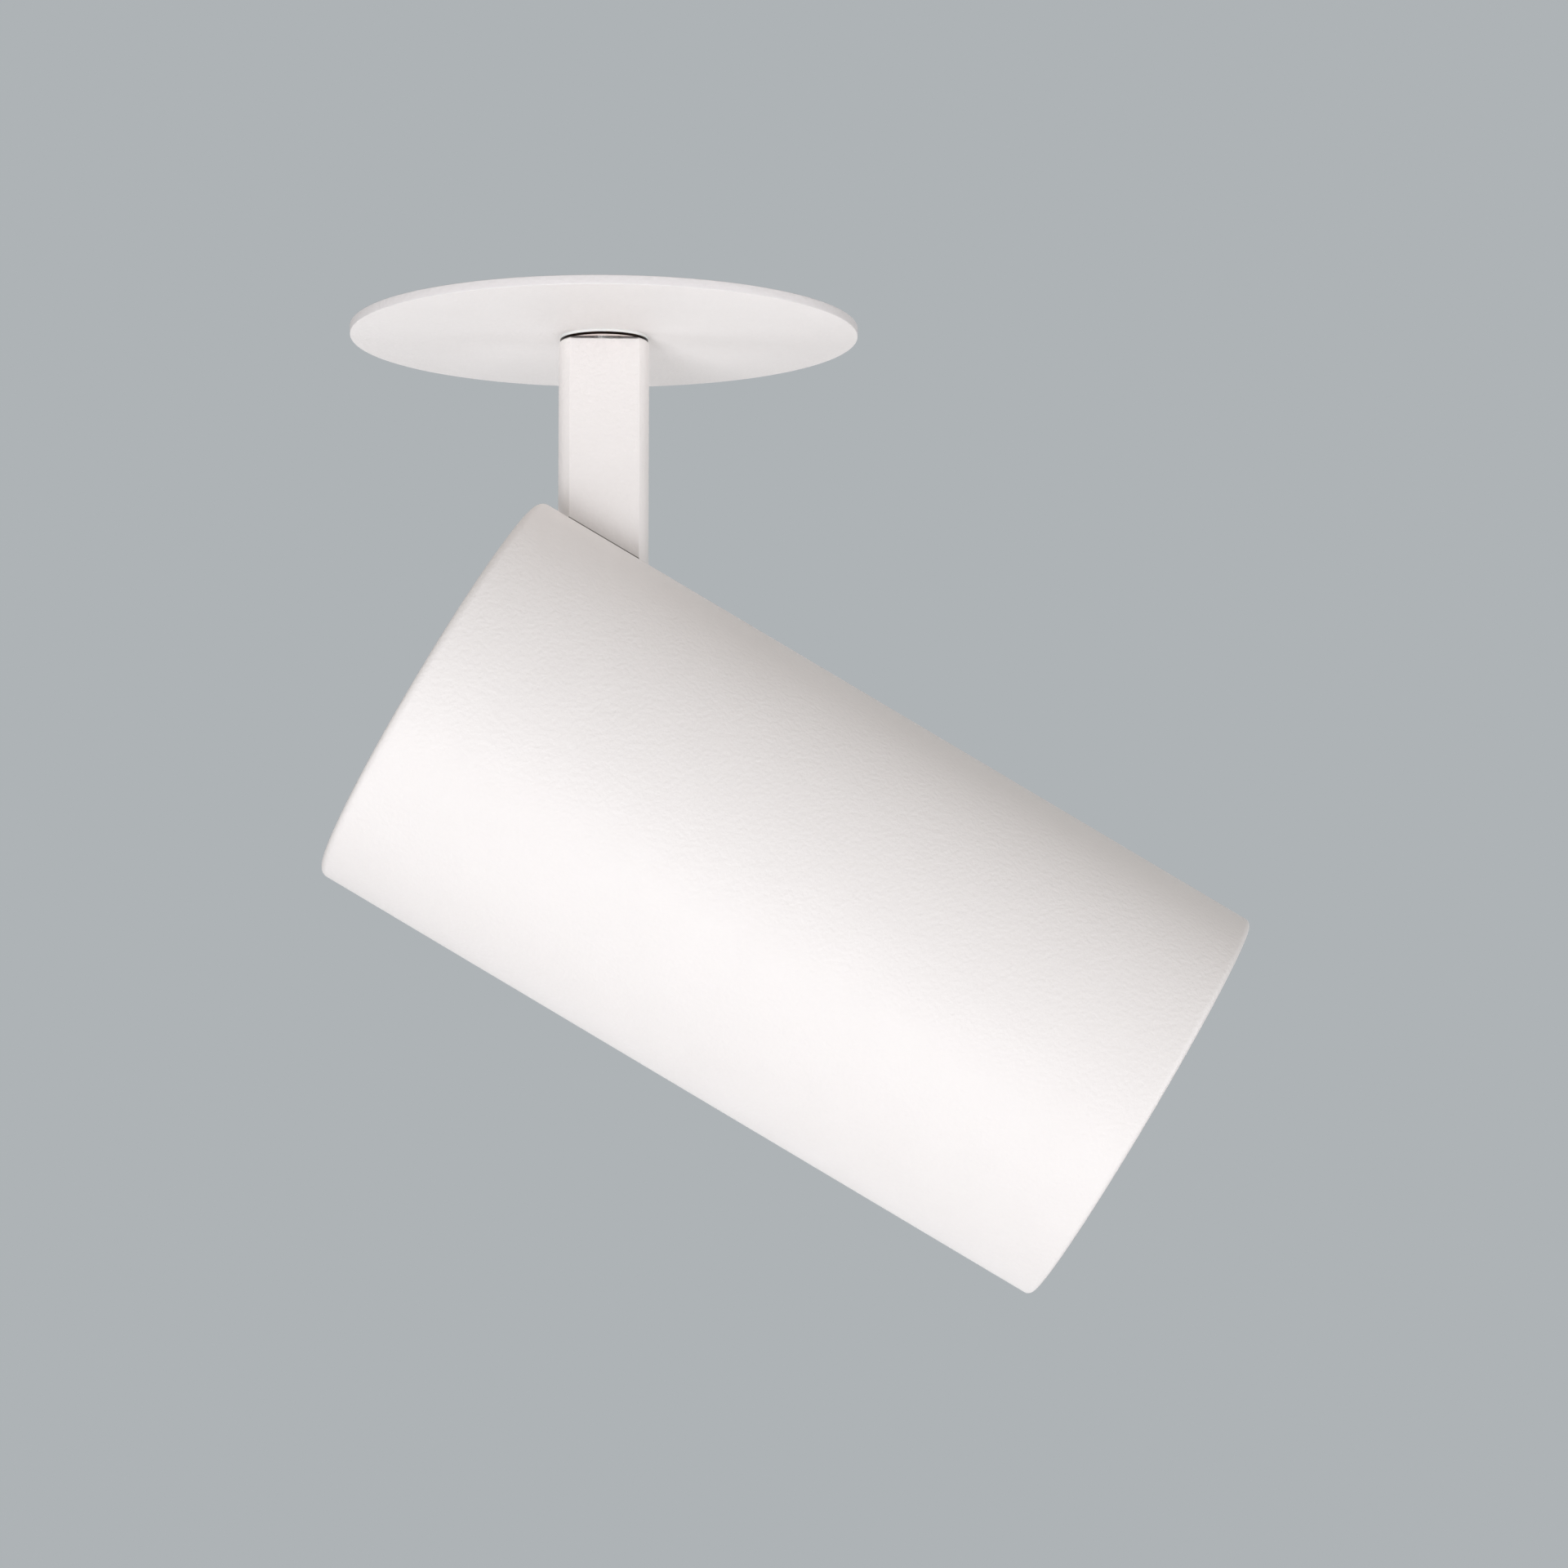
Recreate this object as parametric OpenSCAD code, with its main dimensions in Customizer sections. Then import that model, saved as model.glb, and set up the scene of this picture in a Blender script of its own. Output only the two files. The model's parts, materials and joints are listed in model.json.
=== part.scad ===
// Cylinder spotlight that hangs under a thin round ceiling plate.
// The head turns about the stem's own axis and tilts about a pin inside the head.
// Millimetres. The origin is the middle of the plate's back face, which lies on
// the ceiling. +Z points up into the ceiling, and the head points down towards +X.

/* [Ceiling plate] */
// Diameter of the round ceiling plate
plate_d = 90; // [84:1:110]
// Thickness of the plate at its rim
plate_t = 1.6; // [1.3:0.1:2.5]
// Depth of the seat turned into the back of the plate
seat_depth = 0.3; // [0.1:0.1:0.6]
// Rounding of the plate's lower edge
plate_edge_r = 0.3; // [0.1:0.1:0.5]

/* [Ceiling bracket] */
// Diameter of the hole cut in the ceiling
cutout_d = 70; // [68:1:76]
// Room between the bracket and the hole, on each side
cutout_gap = 0.5; // [0.3:0.1:1]
// Thickness of the bracket's steel sheet
bracket_t = 1.5; // [1:0.1:2]
// Diameter of the opening in the middle of the bracket
bracket_open_d = 38; // [37:0.5:40]
// Diameter of the welded studs that hold the bracket
stud_d = 3; // [2.5:0.5:3.5]
// Diameter of the circle that the studs stand on
stud_circle_d = 51; // [48:1:53]
// How far each stud stands out of its nut
stud_spare = 0.8; // [0.4:0.1:1.5]

/* [Ceiling clips] */
// Distance of each clip's pin from the middle of the plate
clip_pin_x = 27; // [26.5:0.5:28]
// Height of the clip's pin over the bracket
clip_pin_rise = 2.7; // [2.5:0.1:3]
// Diameter of the clip's pin
clip_pin_d = 2.4; // [2:0.1:2.6]
// Width of the clip's arm
clip_w = 13.2; // [12:0.2:15]
// Thickness of the clip's arm
clip_t = 0.8; // [0.6:0.1:1]
// Reach of the clip's arm from its pin to its tip
clip_reach = 13; // [12:0.5:16]
// Thickness of the bracket's ears
ear_t = 1.2; // [0.8:0.1:1.6]
// Diameter of the clip spring's wire
spring_wire_d = 0.7; // [0.5:0.1:0.8]
// Number of turns in each clip spring
spring_turns = 5; // [3:1:5]
// Gap between neighbouring turns of the spring
spring_turn_gap = 0.5; // [0.45:0.05:0.6]

/* [Terminal block] */
// Width of the terminal block
block_w = 20; // [18:1:24]
// Length of the terminal block along the wires
block_l = 13; // [12:0.5:14]
// Height of the terminal block
block_h = 11; // [10:0.5:13]
// Distance between the two terminals
terminal_pitch = 10.4; // [10:0.2:12]
// Bore of each terminal for a wire
terminal_bore_d = 3; // [2:0.2:3.2]

/* [Stem] */
// Diameter of the stem
stem_d = 16; // [14:0.5:18]
// Distance across the stem's two flats
stem_flats = 10.2; // [9.4:0.2:11.4]
// Distance from the ceiling down to the tilt axis
pivot_drop = 82.3; // [76:1:120]
// Diameter of the threaded neck through the plate
neck_d = 10; // [9:0.5:11]
// Diameter of the hole for the lead down the stem
lead_bore_d = 5; // [4.4:0.2:5.4]
// Diameter of the two-core lead
lead_d = 3.4; // [2.8:0.2:3.8]
// Thickness of the slip washer under the plate
slip_washer_t = 0.45; // [0.3:0.05:0.8]
// Thickness of the steel washer on the stem's shoulder
steel_washer_t = 0.4; // [0.3:0.05:0.8]
// Thickness of the toothed stop washer
stop_washer_t = 0.8; // [0.6:0.1:1.2]
// Height of the thin lock nut
lock_nut_h = 2.5; // [2:0.1:3.5]

/* [Tilt pivot] */
// Diameter of the pivot screw's shoulder
pivot_d = 6; // [5:0.5:7]
// Thickness of the tilt bracket's steel
tilt_bracket_t = 2.5; // [2:0.25:3]
// Thickness of each friction washer
friction_washer_t = 0.4; // [0.3:0.05:0.6]
// Room between the stem's end and the tilt bracket
stem_end_gap = 1.5; // [1:0.25:3]

/* [Head] */
// Diameter of the cylinder head
head_d = 76; // [74:1:84]
// Length of the cylinder head
head_len = 145; // [143:1:170]
// Distance from the head's back end to the tilt axis
pivot_back = 35.2; // [33:0.2:38]
// Angle of the head below level in the photographed pose
tilt_rest = 30.6; // [0:0.2:90]
// Wall of the tube around the heat sink
tube_wall = 2.6; // [2.2:0.1:3.2]
// Width of the shoulder inside the tube that the heat sink stops on
tube_shoulder = 1; // [0.6:0.1:1.6]
// Rounding of the tube's back edge
edge_r = 1.6; // [0.8:0.1:1.8]
// Rounding of the tube's front edge
front_edge_r = 0.8; // [0.5:0.1:1.6]
// Room between the stem and each side of its slot
slot_gap = 0.4; // [0.3:0.05:0.8]
// Room between the stem and each end of its slot
slot_end_gap = 0.8; // [0.6:0.1:1.5]
// Rounding of the slot's inner corners
slot_corner_r = 3; // [1:0.5:4]
// Thickness of the back cap
cap_t = 3; // [2.5:0.25:4]
// Depth of the back cap below the tube's end
cap_inset = 0.3; // [0.1:0.1:0.6]

/* [Light engine] */
// Length of the heat sink
sink_len = 48; // [40:1:48]
// Number of fins on the heat sink
fin_count = 20; // [16:4:24]
// Thickness of each fin
fin_t = 1.6; // [1:0.1:1.8]
// Diameter of the heat sink's core
sink_core_d = 26; // [22:1:28]
// Diameter of the LED board
board_d = 32; // [30:1:34]
// Diameter of the light-emitting surface
emitter_d = 14; // [10:1:16]
// Depth of the reflector
reflector_depth = 27; // [24:1:27]
// Thickness of the front glass
glass_t = 3; // [2:0.5:4]
// Depth of the baffle ring below the tube's front end
baffle_inset = 1.2; // [0.6:0.2:2]

/* [Hidden] */
$fn = 96;

powder_white = "#EFEDE9";
steel_grey = "#A9ABAD";
zinc_grey = "#BFC2C4";
polymer_white = "#F4F3EF";
brass_yellow = "#C9A24B";
matt_black = "#1B1B1C";
alloy_grey = "#C8CACC";

// clearances shared by several pieces
cut_over = 1;           // how far a cutting body runs past what it cuts
run_gap = 0.05;         // between faces that turn on each other
shaft_gap = 0.05;       // round a turning shaft, on the radius
drop_in_gap = 0.1;      // round a piece that drops into its seat
thread_gap = 0.1;       // round a screw in its hole, on the radius
lead_exit_gap = 0.6;    // between the ends of two leads that turn on each other

// small screws and nuts
screw_d = 3;
screw_head_d = 5.5;
screw_head_h = 2.4;
screw_drive = 2.5;
nut_over = 2.5;         // how much wider a nut is than its thread
nut_h = 2.4;
countersink_h = 1.7;

// heights at the plate, from the ceiling face
seat_z = -seat_depth;
plate_bottom = -plate_t;
bracket_top = seat_z + bracket_t;
bracket_r = cutout_d / 2 - cutout_gap;

// bush in the plate and the stack on the stem's neck
bush_wall = 1;
bush_r = neck_d / 2 + bush_wall;
bush_flange_r = bush_r + 3;
bush_flange_t = 0.8;
bush_top = seat_z + bush_flange_t;
stop_washer_z = bush_top + run_gap;
stop_washer_r = stem_d / 2;
stop_tab_w = 2;
stop_nose = 5;          // reach of the bracket's stop nose into its opening
stop_nose_r = bracket_open_d / 2 - stop_nose;
stop_tab_r = bracket_open_d / 2 - 2.5;
neck_spring_z = stop_washer_z + stop_washer_t;
neck_spring_h = 0.7;
disc_spring_t = 0.4;
lock_nut_z = neck_spring_z + neck_spring_h;
lock_nut_flats = neck_d + 4;
neck_top = lock_nut_z + lock_nut_h + 0.35;
neck_key = 0.8;         // depth of the flat that keys the stop washer

// washers between the plate and the stem
stem_top = plate_bottom - slip_washer_t - run_gap - steel_washer_t;
washer_r = stem_d / 2 - 0.2;
washer_bore_r = neck_d / 2 + 0.3;
stem_edge = 0.3;        // bevel round the stem's top
pivot_z = -pivot_drop;
stem_r = stem_d / 2;
stem_half = stem_flats / 2;

// studs, ears and clips
stud_r = stud_circle_d / 2;
nut_top = bracket_top + nut_h;
ear_gap = 0.4;
ear_in = clip_w / 2 + ear_gap;
ear_r = clip_pin_d / 2 + 0.7;
pin_head_t = 0.5;
clip_pin_z = bracket_top + clip_pin_rise;
knuckle_r = clip_pin_d / 2 + 0.8;
knuckle_gap = 0.08;     // running clearance of the arm on its pin
arm_gap = 0.1;          // height of the arm over the ceiling face, above 2 mm
arm_z = 2 + arm_gap;
spring_r = clip_pin_d / 2 + 0.2 + spring_wire_d / 2;
spring_pitch = spring_wire_d + spring_turn_gap;
spring_len = spring_turns * spring_pitch + spring_wire_d;
spring_side_gap = 0.35;
knuckle_in = spring_len / 2 + spring_side_gap;

// terminal block
block_y = bracket_r - 4 - block_l / 2;
terminal_rise = 4.3;    // from the bracket to the middle of the brass tubes
terminal_z = bracket_top + terminal_rise;
tube_wall_brass = 0.85;
tube_r = terminal_bore_d / 2 + tube_wall_brass;
tube_inset = 1;
terminal_screw_y = 3;
well_r = screw_d / 2 + 0.4;

// leads above the plate
lead_r = lead_d / 2;
bend_r = 3;
lead_start = neck_top + 0.1;
lead_level = lead_start + bend_r;
core_d = 1.3;
core_run = 5;           // from the end of the lead's sheath to the block
lead_end_y = block_y - block_l / 2 - core_run;

// head, along its axis from the tilt axis at zero
back_x = -pivot_back;
front_x = head_len - pivot_back;
head_r = head_d / 2;
tube_r_in = head_r - tube_wall;
cap_step = 0.7;         // width of the step that the back cap sits on
cap_seat_r = tube_r_in + cap_step;
cap_r = cap_seat_r - drop_in_gap;
cap_out_x = back_x + cap_inset;
cap_in_x = cap_out_x + cap_t;
front_bore_r = tube_r_in - tube_shoulder;
slot_w = stem_flats + 2 * slot_gap;
slot_reach = stem_r + slot_end_gap;

// tilt bracket and its pivot
cheek_in = stem_half + friction_washer_t + 2 * run_gap;
cheek_out = cheek_in + tilt_bracket_t;
cheek_wall = 6;         // steel of each cheek round its pivot hole
cheek_r = pivot_d / 2 + cheek_wall;
base_x = stem_r + stem_end_gap;
sink_x = base_x + tilt_bracket_t;
base_half_y = 20.5;
base_half_z = 12;
base_screw_y = 16.5;
base_screw_z = 8;
washer_out_r = pivot_d / 2 + 4;
pivot_thread_d = 5;
pivot_spring_h = 0.6;
pivot_head_in = cheek_out + 2 * run_gap + pivot_spring_h;
pivot_head_r = pivot_d / 2 + 2;
pivot_head_h = 2.2;
pivot_drive = 4;

// heat sink and the lead's channel through it
sink_r = tube_r_in - 0.2;
rear_flange_t = 3;
front_flange_t = 6;
sink_front_x = sink_x + sink_len;
standoff_d = 6;
standoff_wall_gap = 3.4; // between each standoff and the tube
standoff_r = tube_r_in - standoff_wall_gap - standoff_d / 2;
standoff_tap = 8;       // depth of the thread for the cap's screw
cap_screw_bite = 6;     // length of the cap's screw inside the standoff
standoff_angles = [60, 120, 240, 300];
channel_edge = 11.2;    // from the heat sink's rim to the middle of the lead's channel
channel_r = sink_r - channel_edge;
channel_hole_d = lead_d + 1;

// light engine, stacked from the heat sink's front face
pad_t = 0.5;
board_t = 1.6;
emitter_t = 0.6;
board_x = sink_front_x + pad_t;
emitter_x = board_x + board_t;
holder_h = 6;
holder_wall = 5.7;
holder_in_r = board_d / 2 + 0.3;
holder_r = holder_in_r + holder_wall;
holder_lip_r = emitter_d / 2 + 2.5;
holder_screw_r = holder_in_r + holder_wall / 2;
holder_x = sink_front_x + holder_h;
reflector_t = 1;
reflector_in_r = holder_lip_r - 0.5;
reflector_out_r = front_bore_r - 3.4;
reflector_x = holder_x + reflector_depth;
reflector_steps = 14;
glass_r = front_bore_r - 0.9;
glass_x = reflector_x + run_gap;
gasket_t = 0.6;
gasket_x = glass_x + glass_t + run_gap;
baffle_x = gasket_x + gasket_t + run_gap;
baffle_front_x = front_x - baffle_inset;
baffle_r = front_bore_r - 0.2;
baffle_in_r = baffle_r - 3.7;
baffle_mouth_r = baffle_r - 1.7;
baffle_steps = 7;
baffle_tooth = 0.35;
o_ring_d = 1.8;
o_ring_x = baffle_x + 3.8;
o_ring_r = front_bore_r - run_gap - o_ring_d / 2;

// a stretch of straight round bar from p to q
module bar(p, q, d) {
    v = q - p;
    reach = norm(v);
    translate(p) rotate([0, acos(v[2] / reach), atan2(v[1], v[0])]) cylinder(h = reach, d = d);
}

// a bent round wire through points, with a ball at each bend
module bent_wire(points, d) {
    for (i = [0:len(points) - 2]) bar(points[i], points[i + 1], d);
    if (len(points) > 2) {
        for (i = [1:len(points) - 2]) translate(points[i]) sphere(d = d + 0.02);
    }
}

// a ring of rectangular section between two heights
module ring(r_in, r_out, low, high) {
    translate([0, 0, low]) difference() {
        cylinder(r = r_out, h = high - low);
        translate([0, 0, -cut_over]) cylinder(r = r_in, h = high - low + 2 * cut_over);
    }
}

// a coned spring washer that stands on its wide edge
module disc_spring(r_in, r_out, height) {
    rotate_extrude() polygon([
        [r_out, 0], [r_in, height - disc_spring_t], [r_in, height], [r_out, disc_spring_t]
    ]);
}

// a hexagonal nut with its bore
module hex_nut(flats, bore_r, height) {
    difference() {
        cylinder(d = flats / cos(30), h = height, $fn = 6);
        translate([0, 0, -cut_over]) cylinder(r = bore_r, h = height + 2 * cut_over);
    }
}

// a cylinder-headed screw: its head stands on z = 0 and its shank goes down
module socket_screw(shank_d, shank_len, head_d, head_h, drive) {
    difference() {
        union() {
            cylinder(d = head_d, h = head_h);
            translate([0, 0, -shank_len]) cylinder(d = shank_d, h = shank_len + head_h / 2);
        }
        translate([0, 0, head_h / 2]) cylinder(d = drive / cos(30), h = head_h, $fn = 6);
    }
}

// turns a piece made along Z so that it runs along the head, in its photographed tilt
module in_head(x = 0) {
    translate([0, 0, pivot_z]) rotate([0, tilt_rest, 0]) translate([x, 0, 0]) rotate([0, 90, 0]) children();
}

// the same head frame, with X along the light
module head_frame() {
    translate([0, 0, pivot_z]) rotate([0, tilt_rest, 0]) children();
}

// a piece that faces +X at the pins of both clips
module each_clip() {
    for (side = [0, 180]) rotate([0, 0, side]) translate([clip_pin_x, 0, clip_pin_z]) children();
}

// Ceiling plate
module ceiling_plate() {
    rim = plate_d / 2 - plate_edge_r;
    color(powder_white) rotate_extrude() difference() {
        union() {
            translate([0, plate_bottom]) square([rim, plate_t]);
            translate([0, plate_bottom + plate_edge_r]) square([plate_d / 2, plate_t - plate_edge_r]);
            translate([rim, plate_bottom + plate_edge_r]) circle(r = plate_edge_r);
        }
        translate([0, plate_bottom - cut_over]) square([bush_r + 0.02, plate_t + 2 * cut_over]);
        translate([0, seat_z]) square([bracket_r + drop_in_gap, seat_depth + cut_over]);
    }
}

module bearing_bush() {
    color(polymer_white) union() {
        ring(neck_d / 2 + shaft_gap, bush_r, plate_bottom, bush_top);
        ring(neck_d / 2 + shaft_gap, bush_flange_r, seat_z, bush_top);
    }
}

module slip_washer() {
    color(polymer_white) ring(washer_bore_r, washer_r, plate_bottom - slip_washer_t, plate_bottom);
}

// Mounting bracket with its stop nose and the ears for the clips
module mounting_bracket() {
    ear_out = ear_in + ear_t;
    color(zinc_grey) difference() {
        union() {
            ring(bracket_open_d / 2, bracket_r, seat_z, bracket_top);
            translate([-bracket_open_d / 2 - cut_over, -stop_tab_w / 2, seat_z])
                cube([bracket_open_d / 2 + cut_over - stop_nose_r, stop_tab_w, bracket_t]);
            each_clip() for (side = [-1, 1]) {
                translate([0, side * (ear_in + ear_t / 2), 0]) {
                    rotate([90, 0, 0]) cylinder(r = ear_r, h = ear_t, center = true);
                    translate([-ear_r, -ear_t / 2, seat_z - clip_pin_z])
                        cube([2 * ear_r, ear_t, clip_pin_z - seat_z]);
                }
            }
        }
        each_clip() rotate([90, 0, 0])
            cylinder(d = clip_pin_d, h = 2 * (ear_out + cut_over), center = true);
        for (a = [45:90:315]) rotate([0, 0, a]) translate([stud_r, 0, seat_z - cut_over])
            cylinder(r = stud_d / 2 + 0.2, h = bracket_t + 2 * cut_over);
    }
}

module plate_studs() {
    color(steel_grey) for (a = [45:90:315]) rotate([0, 0, a]) translate([stud_r, 0, seat_z])
        cylinder(d = stud_d, h = nut_top + stud_spare - seat_z);
}

module plate_nuts() {
    color(zinc_grey) for (a = [45:90:315]) rotate([0, 0, a]) translate([stud_r, 0, bracket_top])
        hex_nut(stud_d + nut_over, stud_d / 2 + 0.05, nut_h);
}

// Clip pins, peened over outside the ears
module clip_pins() {
    half = ear_in + ear_t;
    color(steel_grey) each_clip() rotate([90, 0, 0]) {
        cylinder(d = clip_pin_d, h = 2 * half, center = true);
        for (side = [-1, 1]) translate([0, 0, side * (half + pin_head_t / 2)])
            cylinder(d = clip_pin_d + 1, h = pin_head_t, center = true);
    }
}

// Clip springs: a close coil round each pin, with a straight leg down to the bracket
function coil_point(i, rings) = [
    spring_r * sin(360 * i / rings),
    -spring_len / 2 + spring_wire_d / 2 + spring_pitch * i / rings,
    -spring_r * cos(360 * i / rings)
];
coil_rings = 8;
coil_points = [for (i = [0:coil_rings * spring_turns]) coil_point(i, coil_rings)];
leg_reach = 6.5;
leg_drop = clip_pin_rise - spring_r - spring_wire_d / 2 - 0.05;
leg_points = [
    for (s = [1, 0.66, 0.33])
        [-leg_reach * s, -spring_len / 2 + spring_wire_d / 2, -spring_r - leg_drop * s]
];
wire_points = concat(leg_points, coil_points);
wire_sides = 6;

function unit(v) = v / norm(v);
function along(points, i) = unit(points[min(i + 1, len(points) - 1)] - points[max(i - 1, 0)]);

// ring of corners round point i, square to the wire; the coil's axis is Y
function wire_ring(points, i) =
    let (t = along(points, i), n = unit(cross(t, [0, 1, 0])), b = cross(n, t))
    [for (k = [0:wire_sides - 1])
        points[i] + spring_wire_d / 2 * (cos(360 * k / wire_sides) * n + sin(360 * k / wire_sides) * b)];

module wire_tube(points) {
    last = len(points) - 1;
    corners = [for (i = [0:last]) each wire_ring(points, i)];
    sides = [for (i = [0:last - 1], k = [0:wire_sides - 1])
        let (a = i * wire_sides, n = (k + 1) % wire_sides)
        each [[a + k, a + n, a + wire_sides + k], [a + n, a + wire_sides + n, a + wire_sides + k]]];
    start = [for (k = [1:wire_sides - 2]) [0, k + 1, k]];
    end_at = last * wire_sides;
    end = [for (k = [1:wire_sides - 2]) [end_at, end_at + k, end_at + k + 1]];
    polyhedron(points = corners, faces = concat(sides, start, end));
}

// least clear gap between stretches of the wire that are over half a turn apart
coil_gap = min([
    for (i = [0:len(wire_points) - 1], j = [i:len(wire_points) - 1])
        if (j - i > coil_rings / 2) norm(wire_points[i] - wire_points[j]) - spring_wire_d
]);
echo(least_gap_in_clip_spring = coil_gap);

module clip_springs() {
    color(steel_grey) each_clip() wire_tube(wire_points);
}

// Terminal block, its brass tubes and screws
module terminal_block() {
    color(polymer_white) difference() {
        translate([-block_w / 2, block_y - block_l / 2, bracket_top]) cube([block_w, block_l, block_h]);
        for (side = [-1, 1]) {
            translate([side * terminal_pitch / 2, block_y, terminal_z]) rotate([90, 0, 0]) {
                cylinder(r = tube_r + 0.02, h = block_l - 2 * tube_inset, center = true);
                cylinder(r = tube_r - 0.4, h = block_l + 2 * cut_over, center = true);
            }
            for (y = [-terminal_screw_y, terminal_screw_y])
                translate([side * terminal_pitch / 2, block_y + y, terminal_z])
                    cylinder(r = well_r, h = block_h);
        }
        translate([0, block_y, bracket_top - cut_over])
            cylinder(r = screw_d / 2 + thread_gap, h = block_h + 2 * cut_over);
        translate([0, block_y, bracket_top + screw_d]) cylinder(d = screw_head_d + 0.2, h = block_h);
    }
}

module terminal_tubes() {
    color(brass_yellow) for (side = [-1, 1]) translate([side * terminal_pitch / 2, block_y, terminal_z])
        difference() {
            rotate([90, 0, 0]) difference() {
                cylinder(r = tube_r, h = block_l - 2 * tube_inset - 0.1, center = true);
                cylinder(d = terminal_bore_d, h = block_l, center = true);
            }
            for (y = [-terminal_screw_y, terminal_screw_y]) translate([0, y, 0])
                cylinder(d = screw_d - 0.4, h = block_h);
        }
}

module terminal_screws() {
    shank_d = screw_d - 0.5;
    tip_z = terminal_z + 0.7;
    top_z = bracket_top + block_h - 1.5;
    color(steel_grey) for (side = [-1, 1], y = [-terminal_screw_y, terminal_screw_y])
        translate([side * terminal_pitch / 2, block_y + y, 0]) difference() {
            translate([0, 0, tip_z]) cylinder(d = shank_d, h = top_z - tip_z);
            translate([-shank_d, -0.25, top_z - 0.8]) cube([2 * shank_d, 0.5, 2]);
        }
}

module block_screw() {
    color(zinc_grey) translate([0, block_y, bracket_top + screw_d])
        socket_screw(screw_d, screw_d, screw_head_d, screw_head_h, screw_drive);
}

// Lead from the stem's neck across to the terminal block
module ceiling_lead() {
    color(polymer_white) {
        translate([0, bend_r, lead_start]) rotate([90, 0, -90])
            rotate_extrude(angle = 90) translate([bend_r, 0]) circle(d = lead_d);
        translate([0, bend_r, lead_level]) rotate([-90, 0, 0]) cylinder(d = lead_d, h = lead_end_y - bend_r);
    }
}

module ceiling_lead_cores() {
    stop_y = block_y - block_l / 2 + 2.5;
    color(matt_black) for (side = [-1, 1]) difference() {
        bent_wire([
            [side * core_d * 0.6, lead_end_y - core_d, lead_level],
            [side * terminal_pitch / 2, block_y - block_l / 2 - 1.2, terminal_z],
            [side * terminal_pitch / 2, stop_y, terminal_z]
        ], core_d);
        translate([-block_w / 2, lead_end_y - block_l, 0]) cube([block_w, block_l, 2 * lead_level]);
    }
}

// Clip arm: two knuckles on the pin and a flat tongue that lies outward
module clip_arm() {
    tongue_z = arm_z - clip_pin_z;
    tongue_end = clip_reach - clip_w / 2;
    tongue_start = knuckle_r + 1;
    color(zinc_grey) translate([clip_pin_x, 0, clip_pin_z]) difference() {
        union() {
            for (side = [-1, 1]) translate([0, side * (knuckle_in + clip_w / 2) / 2, 0]) rotate([90, 0, 0])
                cylinder(r = knuckle_r, h = clip_w / 2 - knuckle_in, center = true);
            translate([0, 0, tongue_z]) linear_extrude(clip_t) {
                for (side = [-1, 1]) translate([0, side > 0 ? knuckle_in : -clip_w / 2])
                    square([tongue_end, clip_w / 2 - knuckle_in]);
                translate([tongue_start, -clip_w / 2]) square([tongue_end - tongue_start, clip_w]);
                intersection() {
                    translate([tongue_end, 0]) circle(d = clip_w);
                    translate([tongue_start, -clip_w / 2]) square([clip_reach, clip_w]);
                }
            }
        }
        rotate([90, 0, 0])
            cylinder(r = clip_pin_d / 2 + knuckle_gap, h = clip_w + 2 * cut_over, center = true);
    }
}

module clip_arm_right() {
    clip_arm();
}

module clip_arm_left() {
    rotate([0, 0, 180]) clip_arm();
}

// Stem with its neck, flats, lead bore and the cross hole for the pivot screws
module steel_washer() {
    color(steel_grey) ring(washer_bore_r, washer_r, stem_top, stem_top + steel_washer_t);
}

module stem() {
    drop = stem_top - pivot_z;
    color(powder_white) difference() {
        union() {
            intersection() {
                translate([0, 0, pivot_z - stem_r]) union() {
                    cylinder(r = stem_r, h = drop + stem_r - stem_edge);
                    translate([0, 0, drop + stem_r - stem_edge])
                        cylinder(r1 = stem_r, r2 = stem_r - stem_edge, h = stem_edge);
                }
                rotate([90, 0, 90]) linear_extrude(2 * stem_d, center = true) polygon([
                    [-stem_half, pivot_z - stem_d], [stem_half, pivot_z - stem_d],
                    [stem_half, stem_top - stem_edge], [stem_half - stem_edge, stem_top],
                    [stem_edge - stem_half, stem_top], [-stem_half, stem_top - stem_edge]
                ]);
                union() {
                    translate([-stem_d, -stem_d, pivot_z]) cube([2 * stem_d, 2 * stem_d, drop + cut_over]);
                    translate([0, 0, pivot_z]) rotate([90, 0, 0])
                        cylinder(r = stem_r, h = 2 * stem_d, center = true);
                }
            }
            translate([0, 0, stem_top - cut_over]) cylinder(d = neck_d, h = neck_top - stem_top + cut_over);
        }
        translate([0, 0, pivot_z - stem_d]) cylinder(d = lead_bore_d, h = pivot_drop + neck_top + 2 * stem_d);
        translate([0, 0, pivot_z]) rotate([90, 0, 0])
            cylinder(d = pivot_thread_d, h = 2 * stem_d, center = true);
        translate([-neck_d, neck_d / 2 - neck_key, stop_washer_z])
            cube([2 * neck_d, neck_d, neck_top]);
    }
}

// Stop washer, keyed to the neck's flat, with a tab that meets the bracket's nose
module stop_washer() {
    key = neck_d / 2 - neck_key;
    color(zinc_grey) translate([0, 0, stop_washer_z]) linear_extrude(stop_washer_t) difference() {
        union() {
            circle(r = stop_washer_r);
            translate([0, -stop_tab_w / 2]) square([stop_tab_r, stop_tab_w]);
        }
        difference() {
            circle(r = neck_d / 2 + shaft_gap);
            translate([-neck_d, key + shaft_gap]) square([2 * neck_d, neck_d]);
        }
    }
}

module neck_disc_spring() {
    color(steel_grey) translate([0, 0, neck_spring_z])
        disc_spring(neck_d / 2 + shaft_gap, stop_washer_r - 0.3, neck_spring_h);
}

module lock_nut() {
    color(zinc_grey) translate([0, 0, lock_nut_z]) hex_nut(lock_nut_flats, neck_d / 2 + 0.02, lock_nut_h);
}

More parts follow.
